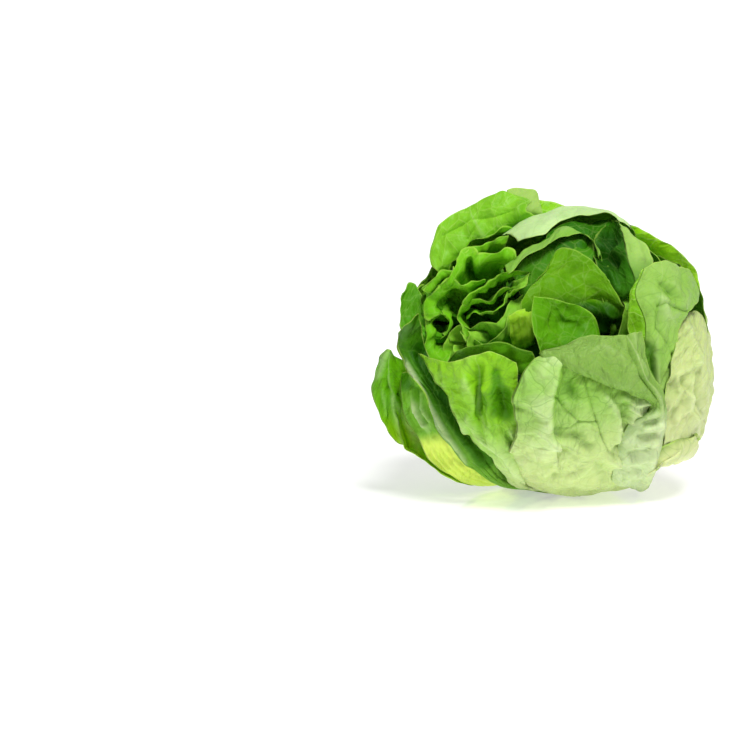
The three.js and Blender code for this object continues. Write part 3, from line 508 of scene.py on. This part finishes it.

# Where a leaf is paler than its look says, or deeper green where the amount is negative: width in mm,
# amount and line. Most of the deeper green is painted shade in hollows, creases and gaps, and much of the
# paler colour is painted light on lit ridges and where light shines through a leaf; front_wide's pale
# stretch by its neck is the leaf's own colour.
TINTS_AND_SHADE = {
    # The first is the leaf's own pale colour; the second is painted shade in a hollow.
    "front_wide": [
        (7, 0.9, [(47, -34), (46, -50), (40, -62)]),
        (5, -0.25, [(8, -16), (12, -24)]),
        (4, -0.5, [(-14, -38), (-8, -38)]),
    ],
    # Painted shade in the leaf's hollows.
    "front_left": [
        (2.6, -0.8, [(-27, -15), (-25.5, -23)]),
        (4.5, -0.8, [(-23, -24), (-21, -34)]),
        (4, -0.8, [(-31, -25), (-29, -33)]),
    ],
    # Painted shade along the leaf's groove, and painted light along its lit ridge.
    "left_diagonal": [
        (4.5, -2, [(-64, -3), (-53, -24), (-43, -41), (-32, -56)]),
        (3, 0.38, [(-71, -8), (-62, -24), (-53, -40), (-42, -56)]),
    ],
    # Painted shade in the dark gap at its top beside far_left and left_diagonal, and painted light along its
    # ridges.
    "left_under": [(4, -1, [(-75, -4), (-71, -20)]), (2.5, 0.4, [(-66, -30), (-60, -42)])],
    # The first is painted shade along a hollow.
    "far_left": [
        (2.5, -0.2, [(-76, -22), (-75, -34)]),
        (2, 0.35, [(-85, -16), (-80, -4)]),
        (5, 0.4, [(-72, -30), (-66, -50)]),
    ],
    # Painted light: the glow where light shines through the leaf.
    "right_back": [(12, 0.8, [(68, 38), (76, 28), (76, 15)])],
    # Painted shade in a hollow.
    "right_round": [(5, -0.6, [(48, -2), (50, -14)])],
    # Painted shade in a hollow.
    "inner_centre": [(7, -0.9, [(18, 14), (30, 14)])],
    # Painted shade on the sail's shaded flank.
    "sail": [(8, -1, [(28, 30), (30, 50)])],
}
BLADE = 0.7  # mm, the thickness of a leaf
GAP_RANGE = 6.0  # mm from the margin over which a leaf's material knows how near it is
TURN_BLUR = 0.02  # share of a leaf's width over which its colour changes at the share turned


# Noise that is the same in each run


def waves(points, length, seed, count=7):
    """Smooth noise of about -1 to 1 at the points, with bumps about length across."""
    random = np.random.default_rng(seed)
    total = np.zeros(points.shape[:-1])
    for _ in range(count):
        way = unit(random.normal(size=points.shape[-1]))
        stretch = random.uniform(0.7, 1.4)
        total += np.sin(points @ way * (2 * math.pi * stretch / length) + random.uniform(0, 2 * math.pi))
    return total / math.sqrt(count)


# Leaf surfaces. A row is an array of unit directions from the head's middle and an array of reaches.


def seen(points):
    """Places written as (right, up, reach), from the head's middle."""
    right, up, reach = np.moveaxis(np.array(points, dtype=float), -1, 0)
    depth = np.sqrt(np.maximum(reach**2 - right**2 - up**2, 0)) * np.sign(reach)
    return right[..., None] * RIGHT + up[..., None] * UP + depth[..., None] * TOWARD


def split(points):
    reach = np.linalg.norm(points, axis=-1)
    return points / reach[..., None], reach


def around(longitude, latitude):
    turn, rise = np.radians(longitude)[..., None], np.radians(latitude)[..., None]
    return FOOT * np.cos(rise) + (BELOW * np.cos(turn) + BESIDE * np.sin(turn)) * np.sin(rise)


def wrapping(longitude, tip, half_width, reach):
    """Rows of a leaf that wraps the head from the stem."""
    sides = np.array((1, 0.5, 0, -0.5, -1))
    ways, reaches = [], []
    for share, width in OUTLINE:
        latitude = share * tip
        half_turn = half_width * width / math.sin(math.radians(latitude))
        ways.append(around(longitude + sides * half_turn, np.full(5, latitude)))
        reaches.append(reach - 1.5 * sides**2)
    return np.array(ways), np.array(reaches)


def from_stem(ways, reaches, order):
    """Rows from the stem to a leaf's first row, so that the leaf grows out of the stem's side."""
    first, columns = ways[0], ways.shape[1]
    middle = first[(columns - 1) // 2]
    root_reach = ROOT_REACH - ROOT_STEP * order
    lean = math.atan((STEM_RADIUS + ROOT_GAP) / root_reach)
    side = unit(middle - middle @ FOOT * FOOT)
    across = np.cross(side, FOOT)
    turns = ROOT_HALF_TURN * np.linspace(-1, 1, columns)[:, None]
    roots = FOOT * math.cos(lean) + (side * np.cos(turns) + across * np.sin(turns)) * math.sin(lean)
    gap = math.acos(np.clip(roots[(columns - 1) // 2] @ middle, -1, 1))
    count = max(1, round(gap / ROW_ANGLE))
    angles = np.arccos(np.clip((roots * first).sum(-1), -1, 1))[:, None]
    new_ways, new_reaches = [], []
    for share in np.arange(count) / count:
        new_ways.append(unit(roots * np.sin((1 - share) * angles) + first * np.sin(share * angles)))
        new_reaches.append(root_reach + (reaches[0] - root_reach) * math.sin(share * math.pi / 2))
    return np.concatenate((new_ways, ways)), np.concatenate((new_reaches, reaches))


def from_core(ways, reaches):
    """A row inside the core and a leaf's own rows, so that the leaf grows out of the core."""
    foot = unit(ways[0] * 0.8 + HEART_MIDDLE * 0.2 + FOOT * 0.15)
    return np.concatenate((foot[None], ways)), np.concatenate((np.full((1, len(foot)), SUNK_REACH), reaches))


def from_lip(spread, line):
    """Rows of a leaf at the heart's opening, from deep inside to its lip."""
    line = np.array(line, float)
    rows = []
    for share, sunk in ((spread, 15), ((1 + spread) / 2, 5), (1, 0)):
        rows.append(np.column_stack((OPENING + (line[:, :2] - OPENING) * share, line[:, 2] - sunk)))
    return split(seen(rows))


def curve_weights(count, at, pull=0.42):
    """A smooth curve's weight of each of its controls at each place, with straight ends."""
    weights = np.zeros((len(at), count))
    for row, place in enumerate(at):
        i = min(int(place), count - 2)
        f = place - i
        weights[row, i] += 2 * f**3 - 3 * f**2 + 1
        weights[row, i + 1] += 3 * f**2 - 2 * f**3
        for end, slope in ((i, f**3 - 2 * f**2 + f), (i + 1, f**3 - f**2)):
            before, after = max(end - 1, 0), min(end + 1, count - 1)
            double = 2 if before == end or after == end else 1
            weights[row, after] += pull * double * slope
            weights[row, before] -= pull * double * slope
    return weights


def middle_surface(ways, reaches, alongs, acrosses):
    by_row = curve_weights(len(ways), alongs * (len(ways) - 1))
    by_column = curve_weights(ways.shape[1], acrosses * (ways.shape[1] - 1))
    way = np.einsum("ar,rcx,bc->abx", by_row, ways, by_column)
    reach = np.einsum("ar,rc,bc->ab", by_row, reaches, by_column)
    return HEAD_MIDDLE + unit(way) * reach[..., None]


def frames(points):
    along = unit(np.gradient(points, axis=0))
    across = unit(np.gradient(points, axis=1))
    return along, across, unit(np.cross(across, along))


def lengths(points, axis):
    """Distance run along the grid from its first line."""
    steps = np.linalg.norm(np.diff(points, axis=axis), axis=-1)
    zero = np.zeros_like(steps.take([0], axis=axis))
    return np.concatenate((zero, np.cumsum(steps, axis=axis)), axis=axis)


def from_line(places, line):
    """How far each place is from a line of straight stretches, less than zero on the right of its way."""
    nearest = np.full(places.shape[:-1], np.inf)
    for start, end in zip(np.array(line, float)[:-1], np.array(line, float)[1:]):
        run = end - start
        off = places - start
        off = off - np.clip(off @ run / (run @ run), 0, 1)[..., None] * run
        gap = np.linalg.norm(off, axis=-1) * np.where(run[0] * off[..., 1] < run[1] * off[..., 0], -1, 1)
        nearest = np.where(np.abs(gap) < np.abs(nearest), gap, nearest)
    return nearest


def front_places(points):
    off_middle = points - HEAD_MIDDLE
    return np.stack((off_middle @ RIGHT, off_middle @ UP), -1)


def listed_tints_and_shade(name, points):
    """How much paler or deeper green a leaf's named tints make each of its points, mostly painted shade and
    painted light.
    """
    places = front_places(points)
    tints = ((amount, from_line(places, line) / width) for width, amount, line in TINTS_AND_SHADE.get(name, ()))
    return sum((amount * np.exp(-(share**2)) for amount, share in tints), np.zeros(points.shape[:-1]))


def hand_folds(name, points):
    """How far a leaf's named folds and overlaps lift each of its points."""
    places = front_places(points)
    lift = np.zeros(points.shape[:-1])
    for width, height, line in FOLDS.get(name, ()):
        share = np.abs(from_line(places, line)) / width
        lift += height * (np.exp(-(share**2)) if height < 0 else np.exp(0.2 - np.sqrt(share**2 * 2 + 0.04)))
    for height, back, line in OVERLAPS.get(name, ()):
        gap = from_line(places, line)
        lift += height / (1 + np.exp(gap / 0.35)) * np.exp(-((gap / back) ** 2))
    return lift


class Leaf:
    """A leaf's middle surface with its folds, and what its material needs at each point."""

    def __init__(self, name, ways, reaches, look, seed, free_from):
        tries = np.linspace(0, 1, 12)
        rough = middle_surface(ways, reaches, tries, tries)
        rows = max(12, round(lengths(rough, 0)[-1].mean() / look["fine"]))
        columns = max(8, round(lengths(rough, 1)[:, -1].max() / look["fine"] / 2) * 2)
        alongs, acrosses = np.linspace(0, 1, rows + 1), np.linspace(0, 1, columns + 1)
        points = middle_surface(ways, reaches, alongs, acrosses)
        run = lengths(points, 1)
        self.look = look
        self.off_rib = run - run[:, [round(look["rib_at"] * columns)]]  # mm, less than zero on its left
        self.from_foot = lengths(points, 0)  # mm
        self.along = np.broadcast_to(alongs[:, None], run.shape)
        outside = np.clip((acrosses - look["turned"]) / TURN_BLUR, 0, 1)
        self.outside = np.broadcast_to(outside[None, :], run.shape)
        free = np.clip((alongs - free_from) / 0.25, 0, 1)[:, None]  # the foot stays where it is on the stem
        side = np.abs(2 * acrosses - 1)[None, :]
        self.margin = np.maximum(side * free, self.along)
        to_tip = self.from_foot[-1:] - self.from_foot
        to_margin = np.minimum(np.minimum(run, run[:, -1:] - run), to_tip)
        self.gap = np.clip(np.where(free > 0.5, to_margin, GAP_RANGE) / GAP_RANGE, 0, 1)
        fan = self.from_foot - 0.9 * np.abs(self.off_rib) + 3.0 * waves(points, 30, seed)
        self.vein = fan / look["spacing"] + 0.5 * (self.off_rib > 0)

        along, across, normal = frames(points)
        ragged = 1.6 * waves(points, 24, seed + 1) + 0.6 * waves(points, 9, seed + 2) - 1
        ragged = look["ragged"] * ragged
        sideways = np.sign(2 * acrosses - 1)[None, :] * side**10 * free
        points = points + across * (ragged * sideways)[..., None]
        points = points + along * (ragged * self.along**14)[..., None]
        lift = self.lift(name, points, acrosses, seed)
        # The tint is painted shade and light: the relief's lift makes ridges paler and hollows deeper green,
        # and the listed tints add more.
        self.tint_and_shade = np.clip(0.5 + 0.08 * lift * free + 0.5 * listed_tints_and_shade(name, points), 0, 1)
        self.points = points + normal * (lift * free)[..., None]

    def lift(self, name, points, acrosses, seed):
        """How far pleats, folds, blisters, ruffle and curl lift each point off the smooth leaf."""
        turn = 2 * math.pi * self.look["pleat_count"] * acrosses[None, :]
        pleat = np.sin(turn + 1.4 * waves(points, 34, seed + 3))
        pleat = pleat * (0.6 + 0.4 * waves(points, 22, seed + 4))
        pleat = pleat * np.sin(math.pi * np.clip(self.along * 1.05, 0, 1)) ** 0.7
        pleat = pleat * (1 - 0.6 * (2 * acrosses[None, :] - 1) ** 4)
        blister = 0.5 * waves(points, 14, seed + 5) + 0.25 * waves(points, 6, seed + 9)
        ruffle = self.margin**5 * (waves(points, 17, seed + 6) + 0.35 * waves(points, 8, seed + 7))
        curl = self.margin**10 * (1 + 0.6 * waves(points, 30, seed + 8))
        shapes = {"pleats": pleat, "blisters": blister, "ruffle": ruffle, "curl": curl}
        return hand_folds(name, points) + sum(self.look[key] * shape for key, shape in shapes.items())

    def solid(self):
        """The outer and the inner face, BLADE apart, thinner at the margin and thick along the rib."""
        _, _, normal = frames(self.points)
        half = BLADE / 2 * (1 - 0.55 * self.margin**8)
        width = 1.6 + 5.5 * (1 - self.along) ** 1.5
        rib = self.look["rib"] * (1 - self.along) ** 1.2 * np.exp(-((self.off_rib / width) ** 2))
        outer = self.points + normal * (half + rib)[..., None]
        inner = self.points - normal * (half + 0.12 * rib)[..., None]
        outer[..., 2] = np.maximum(outer[..., 2], 0)
        inner[..., 2] = np.maximum(inner[..., 2], BLADE)
        return outer, inner


def sheet_faces(rows, columns):
    """Four-sided faces of a closed sheet: the outer grid, the inner grid and the rim between them."""
    index = np.arange(rows * columns).reshape(rows, columns)
    a, b, c, d = index[:-1, :-1], index[:-1, 1:], index[1:, 1:], index[1:, :-1]
    outer = np.stack((a, b, c, d), -1).reshape(-1, 4)
    inner = outer[:, ::-1] + rows * columns
    edge = np.concatenate((index[0, :-1], index[:-1, -1], index[-1, :0:-1], index[:0:-1, 0]))
    following = np.roll(edge, -1)
    rim = np.stack((following, edge, edge + rows * columns, following + rows * columns), -1)
    return np.concatenate((outer, inner, rim))


def new_mesh(name, points, faces):
    mesh = bpy.data.meshes.new(name)
    mesh.vertices.add(len(points))
    mesh.vertices.foreach_set("co", (points * MM).ravel())
    mesh.loops.add(faces.size)
    mesh.loops.foreach_set("vertex_index", faces.ravel())
    mesh.polygons.add(len(faces))
    mesh.polygons.foreach_set("loop_start", np.arange(0, faces.size, faces.shape[1]))
    mesh.update(calc_edges=True)
    mesh.shade_smooth()
    return mesh


def add_piece(name, mesh, material, node):
    piece = bpy.data.objects.new(name, mesh)
    bpy.context.scene.collection.objects.link(piece)
    mesh.materials.append(material)
    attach(piece, "root")
    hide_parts(node)


def add_leaf(name, leaf, node):
    outer, inner = leaf.solid()
    rows, columns = leaf.along.shape
    faces = sheet_faces(rows, columns)
    mesh = new_mesh(name, np.concatenate((outer.reshape(-1, 3), inner.reshape(-1, 3))), faces)
    count = rows * columns
    data = np.zeros((2, count, 4))
    data[0, :, 0] = leaf.outside.ravel()
    data[:, :, 1] = leaf.along.ravel()
    data[:, :, 2] = leaf.gap.ravel()
    data[:, :, 3] = leaf.tint_and_shade.ravel()
    mesh.color_attributes.new("leaf", "FLOAT_COLOR", "POINT").data.foreach_set("color", data.ravel())
    for layer, v in (("blade", leaf.from_foot / 100), ("veins", leaf.vein)):
        uv = np.stack((leaf.off_rib / 100, v), -1).reshape(-1, 2)
        uv = np.concatenate((uv, uv))[faces.ravel()]
        mesh.uv_layers.new(name=layer).data.foreach_set("uv", uv.ravel())
    add_piece(name, mesh, leaf_material(name, leaf.look), node)


# Materials


def linear(code):
    """A colour written as six hex digits, as Blender's linear colour."""
    parts = [int(code[i : i + 2], 16) / 255 for i in (0, 2, 4)]
    return [p / 12.92 if p <= 0.04045 else ((p + 0.055) / 1.055) ** 2.4 for p in parts] + [1]


class Nodes:
    """Short names for the nodes that the materials are made of."""

    def __init__(self, material):
        material.use_nodes = True
        self.tree = material.node_tree
        self.shader = self.tree.nodes["Principled BSDF"]

    def put(self, socket, value):
        """A string is a colour of six hex digits."""
        if isinstance(value, bpy.types.NodeSocket):
            self.tree.links.new(value, socket)
        else:
            socket.default_value = linear(value) if isinstance(value, str) else value

    def shade(self, inputs):
        for key, value in inputs.items():
            self.put(self.shader.inputs[key], value)

    def add(self, kind, inputs, **settings):
        node = self.tree.nodes.new(kind)
        for key, value in settings.items():
            setattr(node, key, value)
        for key, value in inputs.items():
            self.put(node.inputs[key], value)
        return node

    def math(self, operation, *values):
        return self.add("ShaderNodeMath", dict(enumerate(values)), operation=operation).outputs[0]

    def plus(self, a, b):
        return self.math("ADD", a, b)

    def times(self, a, b):
        return self.math("MULTIPLY", a, b)

    def vector(self, operation, a, b):
        return self.add("ShaderNodeVectorMath", {0: a, 1: b}, operation=operation).outputs[0]

    def mix(self, share, a, b, blend="MIX"):
        node = self.add("ShaderNodeMix", {0: share, 6: a, 7: b}, data_type="RGBA", blend_type=blend)
        return node.outputs[2]

    def ramp(self, value, low, high, start=0.0, end=1.0):
        ends = {"Value": value, "From Min": low, "From Max": high, "To Min": start, "To Max": end}
        return self.add("ShaderNodeMapRange", ends, interpolation_type="SMOOTHSTEP").outputs[0]

    def noise(self, vector, scale, detail=2.0, output="Fac"):
        settings = {"Vector": vector, "Scale": scale, "Detail": detail}
        return self.add("ShaderNodeTexNoise", settings).outputs[output]

    def cells(self, vector, scale):
        """How far a place is from the edge of its cell in an uneven net."""
        settings = {"Vector": vector, "Scale": scale}
        return self.add("ShaderNodeTexVoronoi", settings, feature="DISTANCE_TO_EDGE").outputs["Distance"]


def leaf_material(name, look):
    material = bpy.data.materials.new(name)
    n = Nodes(material)
    data = n.add("ShaderNodeAttribute", {}, attribute_name="leaf")
    parts = n.add("ShaderNodeSeparateColor", {"Color": data.outputs["Color"]})
    outside, along, gap = parts.outputs
    # The alpha carries each point's painted shade and painted light.
    tint_and_shade = data.outputs["Alpha"]
    blade = n.add("ShaderNodeUVMap", {}, uv_map="blade").outputs[0]
    veins = n.add("ShaderNodeUVMap", {}, uv_map="veins").outputs[0]
    place = n.add("ShaderNodeSeparateXYZ", {"Vector": veins})
    off_rib = n.times(n.math("ABSOLUTE", place.outputs[0]), 100)  # mm

    # Where the rib, the side veins and the net of small veins are, and the cells that swell between them
    to_vein = n.math("FRACT", n.plus(place.outputs[1], 0.5))
    to_vein = n.math("ABSOLUTE", n.math("SUBTRACT", to_vein, 0.5))
    to_vein = n.times(to_vein, look["spacing"] * 0.74)
    side_vein = n.ramp(to_vein, 0, n.ramp(off_rib, 0, 26, 0.7, 0.2), 1, 0)
    side_vein = n.times(side_vein, n.ramp(off_rib, 4, 34, 1, 0))
    rib = n.ramp(off_rib, 0, n.ramp(along, 0.1, 0.9, 5.0, 0.5), 1, 0)
    warp = n.vector("MULTIPLY", n.noise(blade, 7.0, output="Color"), (0.07, 0.07, 0))
    bent = n.vector("ADD", blade, warp)
    wide_cells, small_cells = n.cells(bent, 8.5), n.cells(bent, 21.0)
    net = n.math("MAXIMUM", n.ramp(wide_cells, 0.0, 0.035, 1, 0), n.ramp(small_cells, 0.0, 0.04, 0.4, 0))

    # Colour: the blade's green on each face, the foot's, patches, painted shade and painted light from the
    # tint, veins, then the thin bright margin
    green = n.mix(outside, look["inner"], look["outer"])
    green = n.mix(n.ramp(n.noise(blade, 3.2, 4.0), 0.35, 0.7, 0, 0.25), green, "9cc850", "MULTIPLY")
    pale = n.ramp(along, look["green_from"], look["green_to"], 1, 0)
    colour = n.mix(pale, green, look["foot"])
    patches = n.ramp(n.noise(bent, 11.0, 3.0), 0.45, 0.75, 0, 0.2)
    colour = n.mix(patches, colour, "b8d878", "MULTIPLY")
    # Painted shade: deeper green where the tint is under a half, in hollows, creases, gaps and shaded parts.
    colour = n.mix(n.ramp(tint_and_shade, 0.5, 0.05, 0, 0.9), colour, "8cb450", "MULTIPLY")
    # Painted light: paler where the tint is over a half, on ridges, lit parts and backlit parts, and the
    # leaf's own paler stretches.
    pale_and_lit_colour = n.mix(outside, "a8d83c", "dbe8b4")
    colour = n.mix(n.ramp(tint_and_shade, 0.5, 1, 0, 0.65), colour, pale_and_lit_colour)
    vein_colour = n.mix(outside, "c4e07c", "5c8c2c")
    thin = n.math("MAXIMUM", n.times(side_vein, 0.8), net)
    shown = n.times(thin, n.ramp(pale, 0, 1, look["veins"], look["veins"] * 0.35))
    colour = n.mix(shown, colour, vein_colour)
    colour = n.mix(n.times(rib, look["rib_pale"]), colour, "dbe6ae")
    edge = n.ramp(gap, 0.3 / GAP_RANGE, 0.9 / GAP_RANGE, look["edge"], 0)
    colour = n.mix(edge, colour, "b8dc60")

    height = n.times(n.ramp(wide_cells, 0.0, 0.3), 0.75)
    height = n.plus(height, n.times(n.ramp(small_cells, 0.0, 0.3), 0.22))
    height = n.plus(height, n.times(n.noise(blade, 16.0, 3.0), 1.1))
    height = n.plus(height, n.times(n.noise(blade, 90.0, 2.0), 0.2))
    height = n.times(height, n.ramp(outside, 0, 1, -1, 1))
    bump = n.add("ShaderNodeBump", {"Strength": 1.0, "Distance": 0.0014 * look["crumple"], "Height": height})
    n.shade({
        "Base Color": colour,
        "Normal": bump.outputs[0],
        "Roughness": n.ramp(n.noise(blade, 12.0), 0.3, 0.7, 0.4, 0.55),
        "Specular IOR Level": look["shine"],
        "Subsurface Weight": 0.2,
        "Subsurface Radius": (0.6, 1.0, 0.1),
        "Subsurface Scale": 0.0008,
    })
    return material


def core_shade_material():
    material = bpy.data.materials.new("core")
    n = Nodes(material)
    where = n.add("ShaderNodeTexCoord", {}).outputs["Object"]
    # Painted shade: dark greens for the depth between the heart's leaves.
    n.shade({"Base Color": n.mix(n.noise(where, 60.0, 3.0), "1d4a08", "3f7d14"), "Roughness": 0.6})
    return material


def stem_material():
    material = bpy.data.materials.new("stem")
    n = Nodes(material)
    data = n.add("ShaderNodeAttribute", {}, attribute_name="stem")
    parts = n.add("ShaderNodeSeparateColor", {"Color": data.outputs["Color"]})
    cut, out = parts.outputs[0], parts.outputs[1]
    where = n.add("ShaderNodeTexCoord", {}).outputs["Object"]
    side = n.mix(n.noise(where, 160.0, 4.0), "d9d6ae", "c3cf94")
    rings = n.noise(where, 420.0, 5.0)
    face = n.mix(n.ramp(rings, 0.3, 0.7), "d8bd9a", "b98a6a")
    face = n.mix(n.ramp(out, 0.72, 0.95), face, "a5684a")
    face = n.mix(n.ramp(out, 0.35, 0.1), face, "e3d3b4")
    bump = n.add("ShaderNodeBump", {"Strength": 0.6, "Distance": 0.0008, "Height": rings})
    n.shade({"Base Color": n.mix(cut, side, face), "Normal": bump.outputs[0], "Roughness": 0.6})
    return material


# The pieces

STEM_SIDES = 72
CORE_SIDES = 64
CORE_RINGS = 40
CORE_END = math.degrees(0.05)  # from the core's poles to its first and last ring


def add_stem():
    """A stub with a rough cut end, standing along FOOT."""
    side = unit(np.cross(FOOT, UP))
    other = np.cross(FOOT, side)
    profile = [(0.35, STEM_TOP_REACH), (0.8, STEM_TOP_REACH + 1), (1, STEM_TOP_REACH + 8)]
    profile += [(1, reach) for reach in np.linspace(STEM_TOP_REACH + 12, STEM_CUT_REACH - 1.8, 20)]
    profile += [(0.985, STEM_CUT_REACH - 0.8), (0.94, STEM_CUT_REACH - 0.1)]
    profile += [(share, STEM_CUT_REACH) for share in np.linspace(0.88, 0.04, 14)]
    turns = np.linspace(0, 2 * math.pi, STEM_SIDES, endpoint=False)
    shares = np.array([p[0] for p in profile])[:, None]
    reaches = np.array([p[1] for p in profile])[:, None]
    spokes = side * np.cos(turns)[:, None] + other * np.sin(turns)[:, None]
    straight = FOOT * reaches[..., None] + spokes[None] * (shares * STEM_RADIUS)[..., None]
    radius = STEM_RADIUS * shares * (1 + 0.025 * waves(straight, 14, 5) + 0.012 * waves(straight, 5, 6))
    reaches = reaches + np.where(reaches >= STEM_CUT_REACH - 1, 0.25 * waves(straight, 6, 7), 0)
    points = HEAD_MIDDLE + FOOT * reaches[..., None] + spokes[None] * radius[..., None]
    rows, columns = radius.shape
    index = np.arange(rows * columns).reshape(rows, columns)
    after = np.roll(index, -1, axis=1)
    faces = np.stack((index[:-1], after[:-1], after[1:], index[1:]), -1).reshape(-1, 4)
    ends = [HEAD_MIDDLE + FOOT * STEM_TOP_REACH, HEAD_MIDDLE + FOOT * STEM_CUT_REACH]
    points = np.concatenate((points.reshape(-1, 3), ends))
    top = [(a, b, rows * columns) for a, b in zip(after[0], index[0])]
    cut = [(a, b, rows * columns + 1) for a, b in zip(index[-1], after[-1])]
    mesh = bpy.data.meshes.new("stem_stub")
    mesh.from_pydata((points * MM).tolist(), [], faces.tolist() + top + cut)
    mesh.shade_smooth()
    data = np.ones((len(points), 4))
    data[:-2, 0] = (np.broadcast_to(reaches, radius.shape) > STEM_CUT_REACH - 0.9).ravel()
    data[:-2, 1] = np.broadcast_to(shares, radius.shape).ravel()
    data[-2:, 1] = 0
    mesh.color_attributes.new("stem", "FLOAT_COLOR", "POINT").data.foreach_set("color", data.ravel())
    add_piece("stem_stub", mesh, stem_material(), "stem")


def add_core():
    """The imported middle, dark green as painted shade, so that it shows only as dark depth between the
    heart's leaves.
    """
    turns = np.linspace(0, 360, CORE_SIDES, endpoint=False)
    rises = np.linspace(CORE_END, 180 - CORE_END, CORE_RINGS)
    way = around(*np.meshgrid(turns, rises))
    points = HEAD_MIDDLE + way * (CORE_RADIUS + 1.5 * waves(way * CORE_RADIUS, 14, 9))[..., None]
    index = np.arange(CORE_RINGS * CORE_SIDES).reshape(CORE_RINGS, CORE_SIDES)
    after = np.roll(index, -1, axis=1)
    faces = np.stack((index[:-1], index[1:], after[1:], after[:-1]), -1).reshape(-1, 4).tolist()
    faces += [tuple(index[0]), tuple(index[-1, ::-1])]
    mesh = bpy.data.meshes.new("core")
    mesh.from_pydata((points.reshape(-1, 3) * MM).tolist(), [], faces)
    mesh.shade_smooth()
    add_piece("core", mesh, core_shade_material(), "heart")


def whorl(index):
    """The innermost leaves: short arcs round the whorl's middle, each a golden turn from the last."""
    side = unit(np.cross(WHORL_MIDDLE, UP))
    above = np.cross(side, WHORL_MIDDLE)
    places = np.array((-1, -0.5, 0, 0.5, 1))
    angles = index * WHORL_TURN - places * 1.05
    rows = []
    for step, spread in enumerate((0.75, 1, 1.15)):
        out = (1.5 + 1.4 * index) * spread * (1 + 0.12 * np.cos(5 * places + index))
        reach = 45 + 8 * step - 1.5 * places**2
        rows.append(WHORL_MIDDLE * reach[:, None] + side * (out * np.cos(angles))[:, None]
                    + above * (out * np.sin(angles))[:, None])
    return np.array(rows)


add_stem()
add_core()
big = [(name, *wrapping(*leaf)) for name, leaf in BACK_LEAVES.items()]
big += [(name, *split(seen(rows))) for name, rows in WRAPPED_LEAVES.items()]
big += [(name, *wrapping(*leaf)) for name, leaf in INNER_BACK_LEAVES.items()]
for order, (name, ways, reaches) in enumerate(big):
    look = LOOK | LOOKS.get(name, {})
    rooted = from_stem(ways, reaches, order)
    free_from = (len(rooted[0]) - len(ways)) / len(rooted[0]) * 0.3
    add_leaf(f"{name}_blade", Leaf(name, *rooted, look, 100 * order, free_from), f"leaf_{name}")

small = [(name, *wrapping(*leaf)) for name, leaf in PACKED_LEAVES.items()]
small += [(name, *split(seen(rows))) for name, rows in HEART_LEAVES.items()]
small += [(name, *from_lip(*leaf)) for name, leaf in LIP_LEAVES.items()]
small += [(f"whorl_{i}", *split(whorl(i))) for i in range(1, WHORL_LEAVES + 1)]
for order, (name, ways, reaches) in enumerate(small):
    kind = name.rstrip("_12345")  # the whorl's leaves share one look
    look = LOOK | HEART_LOOK | HEART_LOOKS.get(kind, {})
    leaf = Leaf(name, *from_core(ways, reaches), look, 5000 + 100 * order, 0.05)
    add_leaf(f"{name}_blade", leaf, "heart")

# The floor, the light and the camera

VIEW_WIDTH = 375  # mm across the picture at the head's middle
VIEW_DISTANCE = 9000  # mm
PICTURE_WIDTH = 750  # pixels across the square picture
HEAD_AT = (548, 345)  # pixels from the picture's left and top to the head's middle
PIXEL = VIEW_WIDTH / PICTURE_WIDTH  # mm
SUN_FROM = (0.25, -0.6, 1.1)
SUN_ANGLE = math.radians(22)
SUN_POWER = 2.8
SKY_POWER = 0.42


def add_floor():
    """A glossy white table, lit through, as in the photograph."""
    mesh = bpy.data.meshes.new("floor")
    mesh.from_pydata([(-6, -6, 0), (6, -6, 0), (6, 6, 0), (-6, 6, 0)], [], [(0, 1, 2, 3)])
    floor = bpy.data.objects.new("floor", mesh)
    bpy.context.scene.collection.objects.link(floor)
    material = bpy.data.materials.new("floor")
    Nodes(material).shade({
        "Base Color": (0.97, 0.97, 0.97, 1),
        "Roughness": 0.12,
        "Emission Color": (1, 1, 1, 1),
        "Emission Strength": 0.4,
    })
    mesh.materials.append(material)


def add_sun():
    light = bpy.data.lights.new("sun", "SUN")
    light.angle = SUN_ANGLE
    light.energy = SUN_POWER
    lamp = bpy.data.objects.new("sun", light)
    lamp.rotation_euler = Vector(SUN_FROM).to_track_quat("Z", "Y").to_euler()
    bpy.context.scene.collection.objects.link(lamp)


def add_camera():
    camera = bpy.data.cameras.new("camera")
    camera.sensor_width = 36
    camera.lens = 36 * VIEW_DISTANCE / VIEW_WIDTH
    camera.clip_end = 100
    right = (PICTURE_WIDTH / 2 - HEAD_AT[0]) * PIXEL
    up = (HEAD_AT[1] - PICTURE_WIDTH / 2) * PIXEL
    aim = HEAD_MIDDLE + right * RIGHT + up * UP
    holder = bpy.data.objects.new("camera", camera)
    turn = Matrix((RIGHT, UP, TOWARD)).transposed()
    holder.matrix_world = Matrix.Translation(Vector(aim + TOWARD * VIEW_DISTANCE) * MM) @ turn.to_4x4()
    bpy.context.scene.collection.objects.link(holder)
    bpy.context.scene.camera = holder


add_floor()
add_sun()
add_camera()
world = bpy.data.worlds.new("world")
world.use_nodes = True
sky = world.node_tree.nodes["Background"].inputs
sky["Color"].default_value = (1, 1, 1, 1)
sky["Strength"].default_value = SKY_POWER
bpy.context.scene.world = world
bpy.context.scene.view_settings.view_transform = "Standard"
